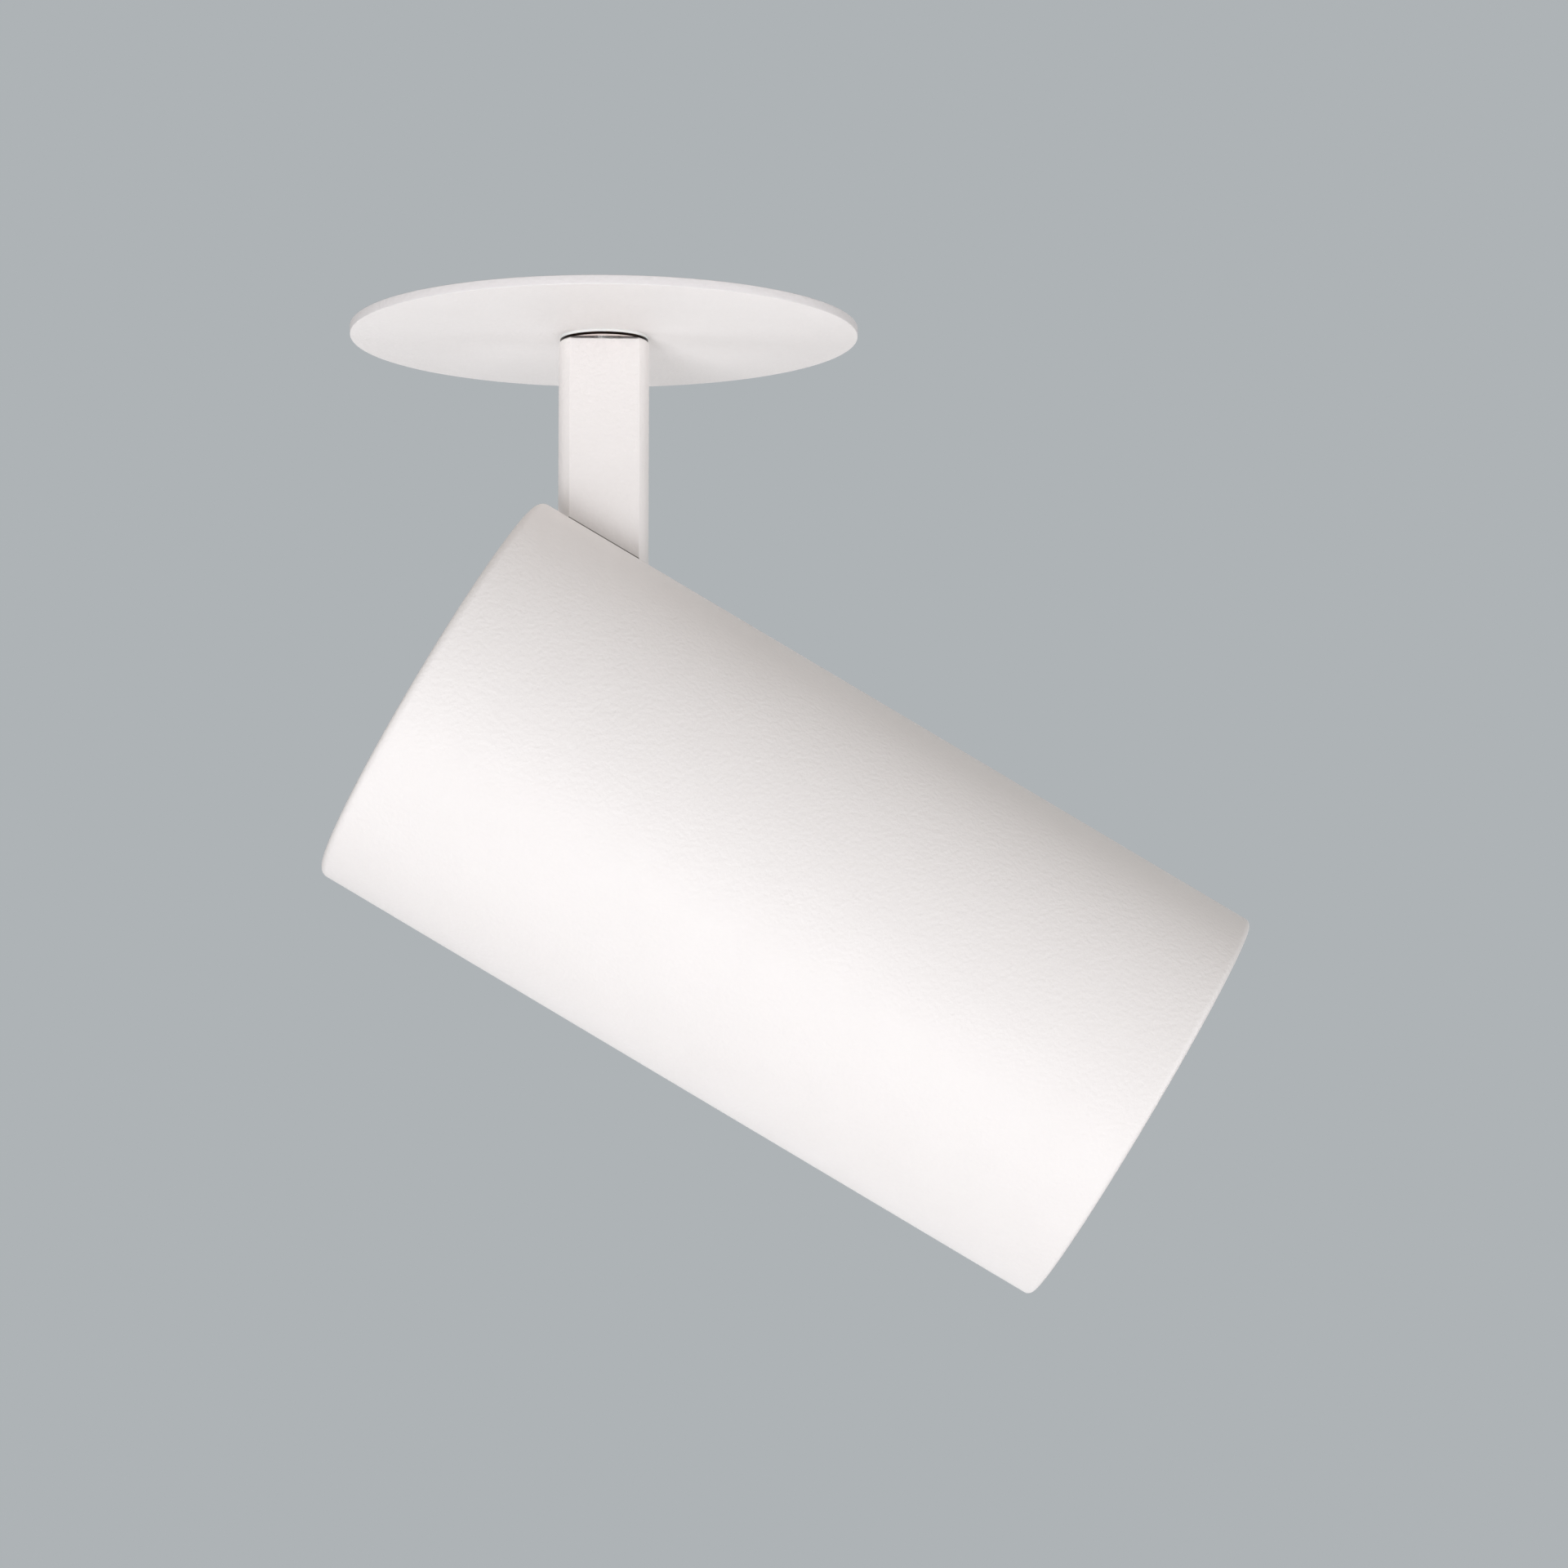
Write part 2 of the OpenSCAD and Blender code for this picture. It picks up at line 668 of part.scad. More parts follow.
// Pivot screws: a shoulder in the bracket's cheek, a thread in the stem and a socket head
module pivot_screws() {
    thread_tip = lead_bore_d / 2 + 0.1;
    color(steel_grey) translate([0, 0, pivot_z]) for (side = [90, -90]) rotate([side, 0, 0]) difference() {
        union() {
            translate([0, 0, thread_tip]) cylinder(d = pivot_thread_d - 0.04, h = pivot_head_in - thread_tip);
            translate([0, 0, stem_half]) cylinder(d = pivot_d, h = pivot_head_in - stem_half);
            translate([0, 0, pivot_head_in]) cylinder(r = pivot_head_r, h = pivot_head_h);
        }
        translate([0, 0, pivot_head_in + pivot_head_h / 3])
            cylinder(d = pivot_drive / cos(30), h = pivot_head_h, $fn = 6);
    }
}

module friction_washers() {
    low = stem_half + run_gap;
    color(polymer_white) translate([0, 0, pivot_z]) for (side = [90, -90]) rotate([side, 0, 0])
        ring(pivot_d / 2 + shaft_gap, washer_out_r, low, low + friction_washer_t);
}

module pivot_disc_springs() {
    color(steel_grey) translate([0, 0, pivot_z]) for (side = [90, -90]) rotate([side, 0, 0])
        translate([0, 0, cheek_out + run_gap])
            disc_spring(pivot_d / 2 + shaft_gap, pivot_head_r - 0.1, pivot_spring_h);
}

module stem_lead() {
    color(polymer_white) translate([0, 0, pivot_z - stem_r])
        cylinder(d = lead_d, h = stem_r + pivot_drop + neck_top);
}

// outline of a slot for the stem, which ends at zero with rounded corners and runs out past -X
module slot_outline() {
    for (side = [-1, 1]) translate([-slot_corner_r, side * (slot_w / 2 - slot_corner_r)])
        circle(r = slot_corner_r);
    translate([-slot_corner_r, slot_corner_r - slot_w / 2]) square([slot_corner_r, slot_w - 2 * slot_corner_r]);
    translate([-head_d, -slot_w / 2]) square([head_d - slot_corner_r, slot_w]);
}

// Head tube: rounded at both ends, bored in three steps and slotted for the stem
module head_tube() {
    round_back = back_x + edge_r;
    round_front = front_x - front_edge_r;
    color(powder_white) difference() {
        in_head() rotate_extrude() difference() {
            union() {
                translate([0, back_x]) square([head_r - edge_r, 2 * edge_r]);
                translate([0, round_back]) square([head_r, round_front - round_back]);
                translate([0, round_front - front_edge_r]) square([head_r - front_edge_r, 2 * front_edge_r]);
                translate([head_r - edge_r, round_back]) circle(r = edge_r);
                translate([head_r - front_edge_r, round_front]) circle(r = front_edge_r);
            }
            translate([0, back_x - cut_over]) square([front_bore_r, head_len + 2 * cut_over]);
            translate([0, back_x - cut_over]) square([tube_r_in, sink_front_x - back_x + cut_over]);
            translate([0, back_x - cut_over]) square([cap_seat_r, cap_in_x - back_x + cut_over]);
        }
        head_frame() translate([slot_reach, 0, 0]) linear_extrude(head_d) slot_outline();
    }
}

module back_cap() {
    color(powder_white) difference() {
        in_head(cap_out_x) cylinder(r = cap_r, h = cap_t);
        in_head(cap_out_x - cut_over) translate([slot_reach, 0, 0])
            linear_extrude(cap_t + 2 * cut_over) slot_outline();
        in_head(cap_out_x) for (a = standoff_angles) rotate([0, 0, 180 + a]) translate([standoff_r, 0, 0]) {
            translate([0, 0, -cut_over]) cylinder(r = screw_d / 2 + thread_gap, h = cap_t + 2 * cut_over);
            cylinder(r1 = screw_head_d / 2 + thread_gap, r2 = screw_d / 2 + thread_gap, h = countersink_h);
        }
    }
}

module cap_screws() {
    reach = cap_t + cap_screw_bite;
    color(zinc_grey) in_head(cap_out_x) for (a = standoff_angles) rotate([0, 0, 180 + a])
        translate([standoff_r, 0, 0]) difference() {
            union() {
                cylinder(d1 = screw_head_d, d2 = screw_d, h = countersink_h);
                cylinder(d = screw_d, h = reach);
            }
            translate([0, 0, -cut_over]) cylinder(d = 2 / cos(30), h = cut_over + 1.2, $fn = 6);
        }
}

// Standoffs between the back cap and the heat sink, each with a stud into the sink
module cap_standoffs() {
    color(steel_grey) in_head(cap_in_x) for (a = standoff_angles) rotate([0, 0, 180 + a])
        translate([standoff_r, 0, 0]) difference() {
            union() {
                cylinder(d = standoff_d, h = sink_x - cap_in_x);
                cylinder(d = screw_d, h = sink_x - cap_in_x + rear_flange_t - 0.3);
            }
            translate([0, 0, -cut_over]) cylinder(d = screw_d + 0.04, h = standoff_tap + cut_over);
        }
}

// Tilt bracket: two cheeks on a base plate
module tilt_bracket() {
    color(zinc_grey) head_frame() difference() {
        union() {
            translate([base_x, -base_half_y, -base_half_z])
                cube([tilt_bracket_t, 2 * base_half_y, 2 * base_half_z]);
            for (side = [-1, 1]) translate([0, side * (cheek_in + tilt_bracket_t / 2), 0]) {
                rotate([90, 0, 0]) cylinder(r = cheek_r, h = tilt_bracket_t, center = true);
                translate([0, -tilt_bracket_t / 2, -cheek_r])
                    cube([base_x + tilt_bracket_t / 2, tilt_bracket_t, 2 * cheek_r]);
            }
        }
        rotate([90, 0, 0])
            cylinder(r = pivot_d / 2 + shaft_gap, h = 2 * (cheek_out + cut_over), center = true);
        for (y = [-base_screw_y, base_screw_y], z = [-base_screw_z, base_screw_z])
            translate([base_x - cut_over, y, z]) rotate([0, 90, 0])
                cylinder(r = screw_d / 2 + thread_gap, h = tilt_bracket_t + 2 * cut_over);
    }
}

module bracket_screws() {
    shank = tilt_bracket_t + rear_flange_t - 0.3;
    color(zinc_grey) head_frame() for (y = [-base_screw_y, base_screw_y], z = [-base_screw_z, base_screw_z])
        translate([base_x, y, z]) rotate([0, -90, 0])
            socket_screw(screw_d, shank, screw_head_d, screw_head_h, screw_drive);
}

// Heat sink: core and fins between a rear flange and a thick front disc
module heat_sink() {
    fin_half = 180 / fin_count;
    color(alloy_grey) difference() {
        in_head(sink_x) {
            cylinder(r = sink_r, h = rear_flange_t);
            linear_extrude(sink_len) {
                circle(d = sink_core_d);
                for (i = [0:fin_count - 1]) rotate(fin_half + 360 * i / fin_count)
                    translate([0, -fin_t / 2]) square([sink_r - 0.6, fin_t]);
            }
            translate([0, 0, sink_len - front_flange_t]) cylinder(r = sink_r, h = front_flange_t);
        }
        in_head(sink_x) {
            translate([channel_r, 0, -cut_over]) cylinder(d = channel_hole_d, h = sink_len + 2 * cut_over);
            for (a = standoff_angles) rotate([0, 0, 180 + a]) translate([standoff_r, 0, -cut_over])
                cylinder(d = screw_d + 0.04, h = rear_flange_t + cut_over);
            for (a = [90, 270]) rotate([0, 0, a])
                translate([holder_screw_r, 0, sink_len - front_flange_t + 1])
                    cylinder(d = screw_d + 0.04, h = front_flange_t);
        }
        head_frame() for (y = [-base_screw_y, base_screw_y], z = [-base_screw_z, base_screw_z])
            translate([sink_x - cut_over, y, z]) rotate([0, 90, 0])
                cylinder(d = screw_d + 0.04, h = rear_flange_t + cut_over);
    }
}

module thermal_pad() {
    color(steel_grey) in_head(sink_front_x) cylinder(d = board_d, h = pad_t);
}

module led_board() {
    color(polymer_white) in_head(board_x) cylinder(d = board_d, h = board_t);
}

module led_emitter() {
    color("#E8C64A") in_head(emitter_x) cylinder(d = emitter_d, h = emitter_t);
}

// LED holder: a ring that presses the board down, notched for the two cores
module led_holder() {
    notch_w = 5;
    color(polymer_white) in_head(sink_front_x) difference() {
        cylinder(r = holder_r, h = holder_h);
        translate([0, 0, -cut_over]) cylinder(r = holder_lip_r, h = holder_h + 2 * cut_over);
        translate([0, 0, -cut_over]) cylinder(r = holder_in_r, h = pad_t + board_t + cut_over);
        translate([0, -notch_w / 2, -cut_over]) cube([holder_r + cut_over, notch_w, holder_h - 2 + cut_over]);
        for (a = [90, 270]) rotate([0, 0, a]) translate([holder_screw_r, 0, -cut_over]) {
            cylinder(r = screw_d / 2 + thread_gap, h = holder_h + 2 * cut_over);
            translate([0, 0, cut_over + holder_h - screw_head_h])
                cylinder(r = screw_head_d / 2 - 0.2, h = holder_h);
        }
    }
}

module holder_screws() {
    color(zinc_grey) in_head(holder_x - screw_head_h) for (a = [90, 270]) rotate([0, 0, a])
        translate([holder_screw_r, 0, 0])
            socket_screw(screw_d, holder_h - screw_head_h + front_flange_t - 1.3,
                screw_head_d - 0.5, screw_head_h, screw_drive);
}

// Reflector: a parabola by formula, with a flange at the front
function bowl_r(s) = sqrt(pow(reflector_in_r, 2)
    + (pow(reflector_out_r, 2) - pow(reflector_in_r, 2)) * s);
module reflector() {
    flange_r = front_bore_r - 0.3;
    inner = [for (i = [0:reflector_steps])
        [bowl_r(i / reflector_steps), reflector_depth * i / reflector_steps]];
    outer = [for (i = [reflector_steps - 1:-1:0])
        [bowl_r(i / reflector_steps) + reflector_t, reflector_depth * i / reflector_steps]];
    flange = [[flange_r, reflector_depth], [flange_r, reflector_depth - reflector_t],
        [bowl_r(1 - 1 / reflector_steps) + reflector_t, reflector_depth - reflector_t]];
    color("#E3E5E6") in_head(holder_x) rotate_extrude() polygon(concat(inner, flange, outer));
}

module front_glass() {
    color("#DCE6E8", 0.4) in_head(glass_x) cylinder(r = glass_r, h = glass_t);
}

module glass_gasket() {
    color(matt_black) in_head() ring(glass_r - 2.4, front_bore_r - 0.3, gasket_x, gasket_x + gasket_t);
}

// Baffle: a stepped dark ring that hides the glass from the side
module baffle() {
    length = baffle_front_x - baffle_x;
    pitch = length / baffle_steps;
    slope = (baffle_mouth_r - baffle_in_r) / baffle_steps;
    teeth = [for (i = [0:baffle_steps - 1])
        each [[baffle_in_r + slope * i, pitch * i], [baffle_in_r + slope * i + baffle_tooth, pitch * i],
            [baffle_in_r + slope * (i + 1), pitch * (i + 1) - 0.01]]];
    color(matt_black) in_head(baffle_x) rotate_extrude() difference() {
        polygon(concat(teeth, [
            [baffle_mouth_r, length], [baffle_r - 0.3, length], [baffle_r, length - 0.3], [baffle_r, 0]
        ]));
        translate([o_ring_r - o_ring_d / 2 - run_gap, o_ring_x - baffle_x - o_ring_d / 2 - run_gap])
            square([2 * o_ring_d, o_ring_d + 2 * run_gap]);
    }
}

module baffle_o_ring() {
    color(matt_black) in_head(o_ring_x) rotate_extrude() translate([o_ring_r, 0]) circle(d = o_ring_d);
}

// Lead in the head: down past the stem's end, round a bend, through the heat sink to the board
lead_out_x = sink_front_x + 1.2;
lead_turn_r = 4.5;
lead_turn_x = sink_x - 1;
lead_drop_x = lead_turn_x - lead_turn_r;
lead_drop_z = -sqrt(pow(stem_r + lead_exit_gap, 2) - pow(lead_drop_x - lead_r, 2));

module head_lead() {
    turn_z = lead_turn_r - channel_r;
    color(polymer_white) head_frame() {
        translate([lead_drop_x, 0, turn_z]) cylinder(d = lead_d, h = lead_drop_z - turn_z);
        translate([lead_turn_x, 0, turn_z]) rotate([90, 0, 0]) rotate([0, 0, 180])
            rotate_extrude(angle = 90) translate([lead_turn_r, 0]) circle(d = lead_d);
        translate([lead_turn_x, 0, -channel_r]) rotate([0, 90, 0])
            cylinder(d = lead_d, h = lead_out_x - lead_turn_x);
    }
}

module head_lead_cores() {
    core_x = emitter_x + core_d / 2 + 0.1;
    color(matt_black) head_frame() for (side = [-1, 1]) bent_wire([
        [lead_out_x, side * core_d * 0.6, -channel_r],
        [core_x, side * core_d * 0.6, -channel_r],
        [core_x, side * core_d * 0.6, -board_d / 2 + 2.5]
    ], core_d);
}

ceiling_plate();
bearing_bush();
slip_washer();
mounting_bracket();
plate_studs();
plate_nuts();
clip_pins();
clip_springs();
terminal_block();
terminal_tubes();
terminal_screws();
block_screw();
ceiling_lead();
ceiling_lead_cores();
clip_arm_right();
clip_arm_left();
steel_washer();
stem();
stop_washer();
neck_disc_spring();
lock_nut();
pivot_screws();
friction_washers();
pivot_disc_springs();
stem_lead();
head_tube();
back_cap();
cap_screws();
cap_standoffs();
tilt_bracket();
bracket_screws();
heat_sink();
thermal_pad();
led_board();
led_emitter();
led_holder();
holder_screws();
reflector();
front_glass();
glass_gasket();
baffle();
baffle_o_ring();
head_lead();
head_lead_cores();
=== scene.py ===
import json
import math

import bmesh
import bpy
from mathutils import Matrix, Vector

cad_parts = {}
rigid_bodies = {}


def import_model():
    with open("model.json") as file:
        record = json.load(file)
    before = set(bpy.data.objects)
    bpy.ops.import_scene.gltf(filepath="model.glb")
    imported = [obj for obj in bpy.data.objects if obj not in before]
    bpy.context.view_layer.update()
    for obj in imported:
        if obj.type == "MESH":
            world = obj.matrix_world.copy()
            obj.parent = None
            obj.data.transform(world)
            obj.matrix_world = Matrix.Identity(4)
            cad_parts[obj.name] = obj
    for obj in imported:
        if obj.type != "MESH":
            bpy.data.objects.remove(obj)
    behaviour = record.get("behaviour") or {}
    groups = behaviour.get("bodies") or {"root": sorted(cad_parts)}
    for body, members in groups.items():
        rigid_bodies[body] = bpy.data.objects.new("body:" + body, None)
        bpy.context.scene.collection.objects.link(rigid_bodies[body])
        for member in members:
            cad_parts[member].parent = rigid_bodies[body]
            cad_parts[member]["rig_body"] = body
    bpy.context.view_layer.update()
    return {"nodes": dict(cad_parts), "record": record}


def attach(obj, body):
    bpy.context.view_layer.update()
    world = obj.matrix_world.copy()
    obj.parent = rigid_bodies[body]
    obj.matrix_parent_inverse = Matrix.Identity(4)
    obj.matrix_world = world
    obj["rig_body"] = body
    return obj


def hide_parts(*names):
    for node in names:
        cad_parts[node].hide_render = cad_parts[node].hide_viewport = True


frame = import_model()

nodes = frame["nodes"]
slot_of = {part["node"]: part["material_slot"] for part in frame["record"]["subparts"]}
scene = bpy.context.scene
scene.view_settings.view_transform = "Standard"

# The object's sizes are in millimetres, as in its drawing, and MM turns them to metres.
# The camera, the lamps and the floor are placed in metres.
MM = 0.001
TO_METRES = Matrix.Scale(MM, 4)
# Points closer than this are one point, and shorter edges than a speck are dropped
WELD = 0.0005
SPECK = 0.0002
PLATE_R = 45
PLATE_LOW = -1.6
# The seat turned into the back of the plate, which the bracket lies in
SEAT_R = 34.6
SEAT_Z = -0.3
STUD_CIRCLE_R = 25.5
WASHER_BORE_R = 5.3
WASHER_R = 7.8
SLIP_WASHER_LOW = -2.05
STEEL_WASHER_HIGH = -2.1
STEEL_WASHER_LOW = -2.5
LEAD_D = 3.4
CORE_D = 1.3
PIVOT_Z = -82.3
TILT = math.radians(30.6)
UPRIGHT = Matrix.Identity(4)
HALF_TURN = Matrix.Rotation(math.pi, 4, "Z")
# Frame of the head: X runs along the light, the tilt axis is Y
HEAD = Matrix.Translation((0, 0, PIVOT_Z)) @ Matrix.Rotation(TILT, 4, "Y")
# Pieces turned about Z are laid along the head with this
ALONG_HEAD = HEAD @ Matrix.Rotation(math.radians(90), 4, "Y")
TOWARDS_BACK = HEAD @ Matrix.Rotation(math.radians(-90), 4, "Y")
# Distances along the head from the tilt axis, and radii round its middle line
HEAD_R = 38
HEAD_BACK = -35.2
HEAD_FRONT = 109.8
CAP_BACK = -34.9
CAP_FRONT = -31.9
CAP_R = 36
CAP_SEAT_R = 36.1
SINK_FRONT = 60
SINK_BORE_R = 35.4
FRONT_BORE_R = 34.4
# The slot that the stem swings in, which is cut out past the head's back
SLOT_BACK = -60
SLOT_FRONT = 8.8
SLOT_HALF = 5.5
SLOT_CORNER_R = 3
# Edges that turn by more than this are shaded crisp, and are the ones that get broken
SHARP = math.radians(32)


# Colours and nodes
finishes = {}


def linear(code):
    """An sRGB hex code as the linear colour that the shaders want."""
    levels = [int(code[i:i + 2], 16) / 255 for i in (1, 3, 5)]
    return [v / 12.92 if v <= 0.04045 else ((v + 0.055) / 1.055) ** 2.4 for v in levels] + [1.0]


def add_node(tree, kind, settings):
    """Adds a node. A setting is a property, a value for a socket, or the output that feeds it."""
    made = tree.nodes.new("ShaderNode" + kind)
    for name, value in settings.items():
        if isinstance(value, bpy.types.NodeSocket):
            tree.links.new(value, made.inputs[name])
        elif isinstance(name, str) and hasattr(made, name):
            setattr(made, name, value)
        else:
            made.inputs[name].default_value = value
    return made


def per_metre(size_mm):
    """Texture scale at which one feature is this many millimetres wide."""
    return 1 / (size_mm * MM)


def surface(name, colour, shade, metallic, roughness, grain, depth, patch,
            wear=0.06, lay=(1, 1, 1), **more):
    """Adds a finish with a fine grain in relief, and patches that shift its colour and gloss a little.

    grain and patch are widths in mm, depth is the relief in mm, and lay stretches the grain.
    """
    made = bpy.data.materials.new(name)
    made.use_nodes = True
    tree = made.node_tree
    tree.nodes.clear()
    place = add_node(tree, "TexCoord", {}).outputs["Object"]
    laid = add_node(tree, "Mapping", {"Vector": place, "Scale": lay}).outputs["Vector"]
    fine = add_node(tree, "TexNoise", {"Vector": laid, "Scale": per_metre(grain), "Detail": 3.0})
    broad = add_node(tree, "TexNoise", {"Vector": place, "Scale": per_metre(patch), "Detail": 2.0})
    tint = add_node(tree, "Mix", {
        "data_type": "RGBA", 0: broad.outputs["Fac"], 6: linear(colour), 7: linear(shade)})
    gloss = add_node(tree, "MapRange", {
        "Value": broad.outputs["Fac"], "From Min": 0.3, "From Max": 0.7,
        "To Min": roughness - wear, "To Max": roughness + wear})
    relief = add_node(tree, "Bump", {
        "Height": fine.outputs["Fac"], "Distance": depth * MM, "Strength": 1.0})
    shader = add_node(tree, "BsdfPrincipled", {
        "Base Color": tint.outputs[2], "Metallic": metallic, "Roughness": gloss.outputs["Result"],
        "Normal": relief.outputs["Normal"]})
    for socket, value in more.items():
        shader.inputs[socket.replace("_", " ")].default_value = value
    add_node(tree, "OutputMaterial", {"Surface": shader.outputs["BSDF"]})
    finishes[name] = made
    return made


# The powder's tooth is about 0.4 mm wide, and drawn at twice that so that it shows
WHITE_COAT = dict(colour="#F4EFEC", shade="#F1ECE9", metallic=0.0, roughness=0.52,
                  grain=0.8, depth=0.12, patch=9.0, wear=0.02, IOR=1.4)
# Light that goes about half a millimetre deep softens the edges of pale plastics
WAXY = dict(
    Subsurface_Weight=0.3, Subsurface_Radius=(0.6 * MM, 0.5 * MM, 0.4 * MM), Subsurface_Scale=1.0)
# Polyester powder baked on sheet steel: a warm white with a fine, even tooth that scatters highlights
surface("powder_coated_steel", **WHITE_COAT)
# The same powder on the turned aluminium tube and cap
surface("powder_coated_aluminium", **WHITE_COAT)
# Pressed steel sheet, zinc plated and passivated: grey with faint blue and straw patches
surface("zinc_plated_steel", "#D2D6DA", "#D8D3C6", 1.0, 0.34, 0.3, 0.006, 5.0, wear=0.08, lay=(0.25, 1, 1))
# Turned stainless steel: bright and a little warm, with fine tool marks
surface("stainless_steel", "#CFC8C3", "#BDB7B2", 1.0, 0.28, 0.12, 0.0015, 3.0)
# Hard drawn spring wire and strip: darker, with an oily sheen along its length
surface("spring_steel", "#ABABAD", "#97958F", 1.0, 0.28, 0.2, 0.004, 4.0, lay=(0.2, 1, 1))
# Drawn brass tube: yellow, dulled by handling
surface("brass", "#C9A55A", "#B48E45", 1.0, 0.34, 0.2, 0.002, 2.0, wear=0.1)
# Cast aluminium, shot blasted: pale grey, matt and even
surface("cast_aluminium", "#BFC1C3", "#B3B5B7", 1.0, 0.5, 0.3, 0.012, 6.0)
# Spun bowl under a vacuum-coated mirror layer: nearly white and smooth, so its facets flash
surface("faceted_reflector", "#E6E7E8", "#DFE1E3", 1.0, 0.12, 0.6, 0.0006, 8.0, wear=0.03)
# Turned aluminium with a matt black anodised skin: swallows stray light, with a faint grey bloom
surface("black_anodised_aluminium", "#1A1A1B", "#222223", 0.6, 0.55, 0.18, 0.003, 4.0)
# Turned acetal bush: a waxy off-white that light sinks into
surface("acetal", "#EDEBE4", "#E6E4DC", 0.0, 0.42, 0.3, 0.002, 4.0, **WAXY)
# Skived PTFE washer: chalky white
surface("ptfe", "#F1F0EC", "#E9E8E3", 0.0, 0.6, 0.25, 0.003, 3.0, **WAXY)
# Moulded nylon with a spark-eroded tooth
surface("nylon", "#ECEAE3", "#E4E2DA", 0.0, 0.5, 0.35, 0.014, 5.0, **WAXY)
# Extruded silicone sheath: soft white with a dusty bloom
surface("silicone_sheath", "#E4E2DC", "#DAD8D1", 0.0, 0.58, 0.3, 0.006, 3.0, **WAXY)
# Extruded PVC core insulation: smooth, slightly glossy black
surface("core_insulation", "#1C1B1B", "#242323", 0.0, 0.35, 0.3, 0.002, 3.0)
# Pressed graphite pad: soft dark grey
surface("graphite_pad", "#56585B", "#4A4C4F", 0.2, 0.6, 0.2, 0.01, 2.0)
# White solder mask screened on the metal-core board
surface("board_mask", "#ECECE8", "#E4E4DF", 0.0, 0.38, 0.4, 0.003, 4.0)
# Phosphor in cast silicone gel: a saturated yellow that glows a little in depth
surface("phosphor", "#F3C72B", "#EAB51C", 0.0, 0.28, 0.25, 0.004, 1.2, wear=0.04)
# Tempered float glass with a polished face
surface("clear_glass", "#F4F9F7", "#EFF6F4", 0.0, 0.02, 6.0, 0.0002, 20.0, wear=0.01,
        IOR=1.5, Transmission_Weight=1.0)
# Moulded black silicone: matt, with a faint bloom
surface("black_silicone", "#232323", "#2C2C2C", 0.0, 0.65, 0.2, 0.004, 2.0)
# Extruded PVC core insulation in red, for the other core
surface("core_insulation_red", "#A3211C", "#8E1B17", 0.0, 0.35, 0.3, 0.002, 3.0)


# Where the painted shade and shadows lie, in mm: radii, distances from the stem's middle plane, and heights
# over the tilt axis
WASHER_RIM_SHADOW = (7.62, 9)
WASHER_FOOT_SHADOW = (0, 5.5)
MILLED_FLATS = (5.07, 6)
PLATE_RIM = (44.97, 46)
SLOT_SHADOW_BAND = (37.62, 37.8)


def band(tree, value, low, high, soft=0.06):
    """A mask that is 1 where a value in metres lies between two limits in mm."""
    rise = add_node(tree, "MapRange", {
        "Value": value, "From Min": (low - soft) * MM, "From Max": low * MM})
    fall = add_node(tree, "MapRange", {
        "Value": value, "From Min": (high + soft) * MM, "From Max": high * MM})
    return add_node(tree, "Math", {
        "operation": "MINIMUM", 0: rise.outputs[0], 1: fall.outputs[0]}).outputs[0]


def paint_shade(material, mark, colour):
    """Gives a material another colour where a mask made by mark(tree, place) is 1, which paints shade or
    shadow into it.
    """
    tree = material.node_tree
    shader = next(n for n in tree.nodes if n.type == "BSDF_PRINCIPLED")
    clean = shader.inputs["Base Color"].links[0].from_socket
    where = mark(tree, add_node(tree, "TexCoord", {}).outputs["Object"])
    tint = add_node(tree, "Mix", {"data_type": "RGBA", 0: where, 6: clean, 7: linear(colour)})
    tree.links.new(tint.outputs[2], shader.inputs["Base Color"])
    return material


def from_axis(tree, place):
    """Distance from the stem's axis."""
    flat = add_node(tree, "VectorMath", {"operation": "MULTIPLY", 0: place, 1: (1, 1, 0)})
    return add_node(tree, "VectorMath", {
        "operation": "LENGTH", 0: flat.outputs["Vector"]}).outputs["Value"]


def from_middle(tree, place):
    """Distance from the plane midway between the stem's flats."""
    across = add_node(tree, "SeparateXYZ", {"Vector": place}).outputs["Y"]
    return add_node(tree, "Math", {"operation": "ABSOLUTE", 0: across}).outputs[0]


def rim_and_foot(tree, place):
    """Where painted shadow goes on the washer: its punched rim, and the strip that the stem stands on, to
    just past its flats.
    """
    rim = band(tree, from_axis(tree, place), *WASHER_RIM_SHADOW)
    foot = band(tree, from_middle(tree, place), *WASHER_FOOT_SHADOW)
    return add_node(tree, "Math", {"operation": "MAXIMUM", 0: rim, 1: foot}).outputs[0]


def milled_flats(tree, place):
    """The stem's two milled flats, where painted shade goes."""
    return band(tree, from_middle(tree, place), *MILLED_FLATS, 0.03)


def slot_shadow_line(tree, place):
    """A painted shadow line on the stem's flats, level with the top of the tube, where the slot's edge
    shades them.
    """
    height = add_node(tree, "VectorMath", {
        "operation": "DOT_PRODUCT", 0: place, 1: (math.sin(TILT), 0, math.cos(TILT))}).outputs["Value"]
    axis = PIVOT_Z * math.cos(TILT)
    line = band(tree, height, axis + SLOT_SHADOW_BAND[0], axis + SLOT_SHADOW_BAND[1], 0.03)
    return add_node(tree, "Math", {
        "operation": "MULTIPLY", 0: line, 1: milled_flats(tree, place)}).outputs[0]


def plate_rim(tree, place):
    """The plate's outer rim, inside its rounded edges, where painted shade goes."""
    return band(tree, from_axis(tree, place), *PLATE_RIM, 0.04)


# The coat on the plate: smoother, as it flows out on flat sheet, with painted shade that makes the rim a
# shade greyer and a little cooler
paint_shade(surface("plate_coat_painted_rim_shade", **{**WHITE_COAT, "roughness": 0.45}), plate_rim, "#ECE7E6")
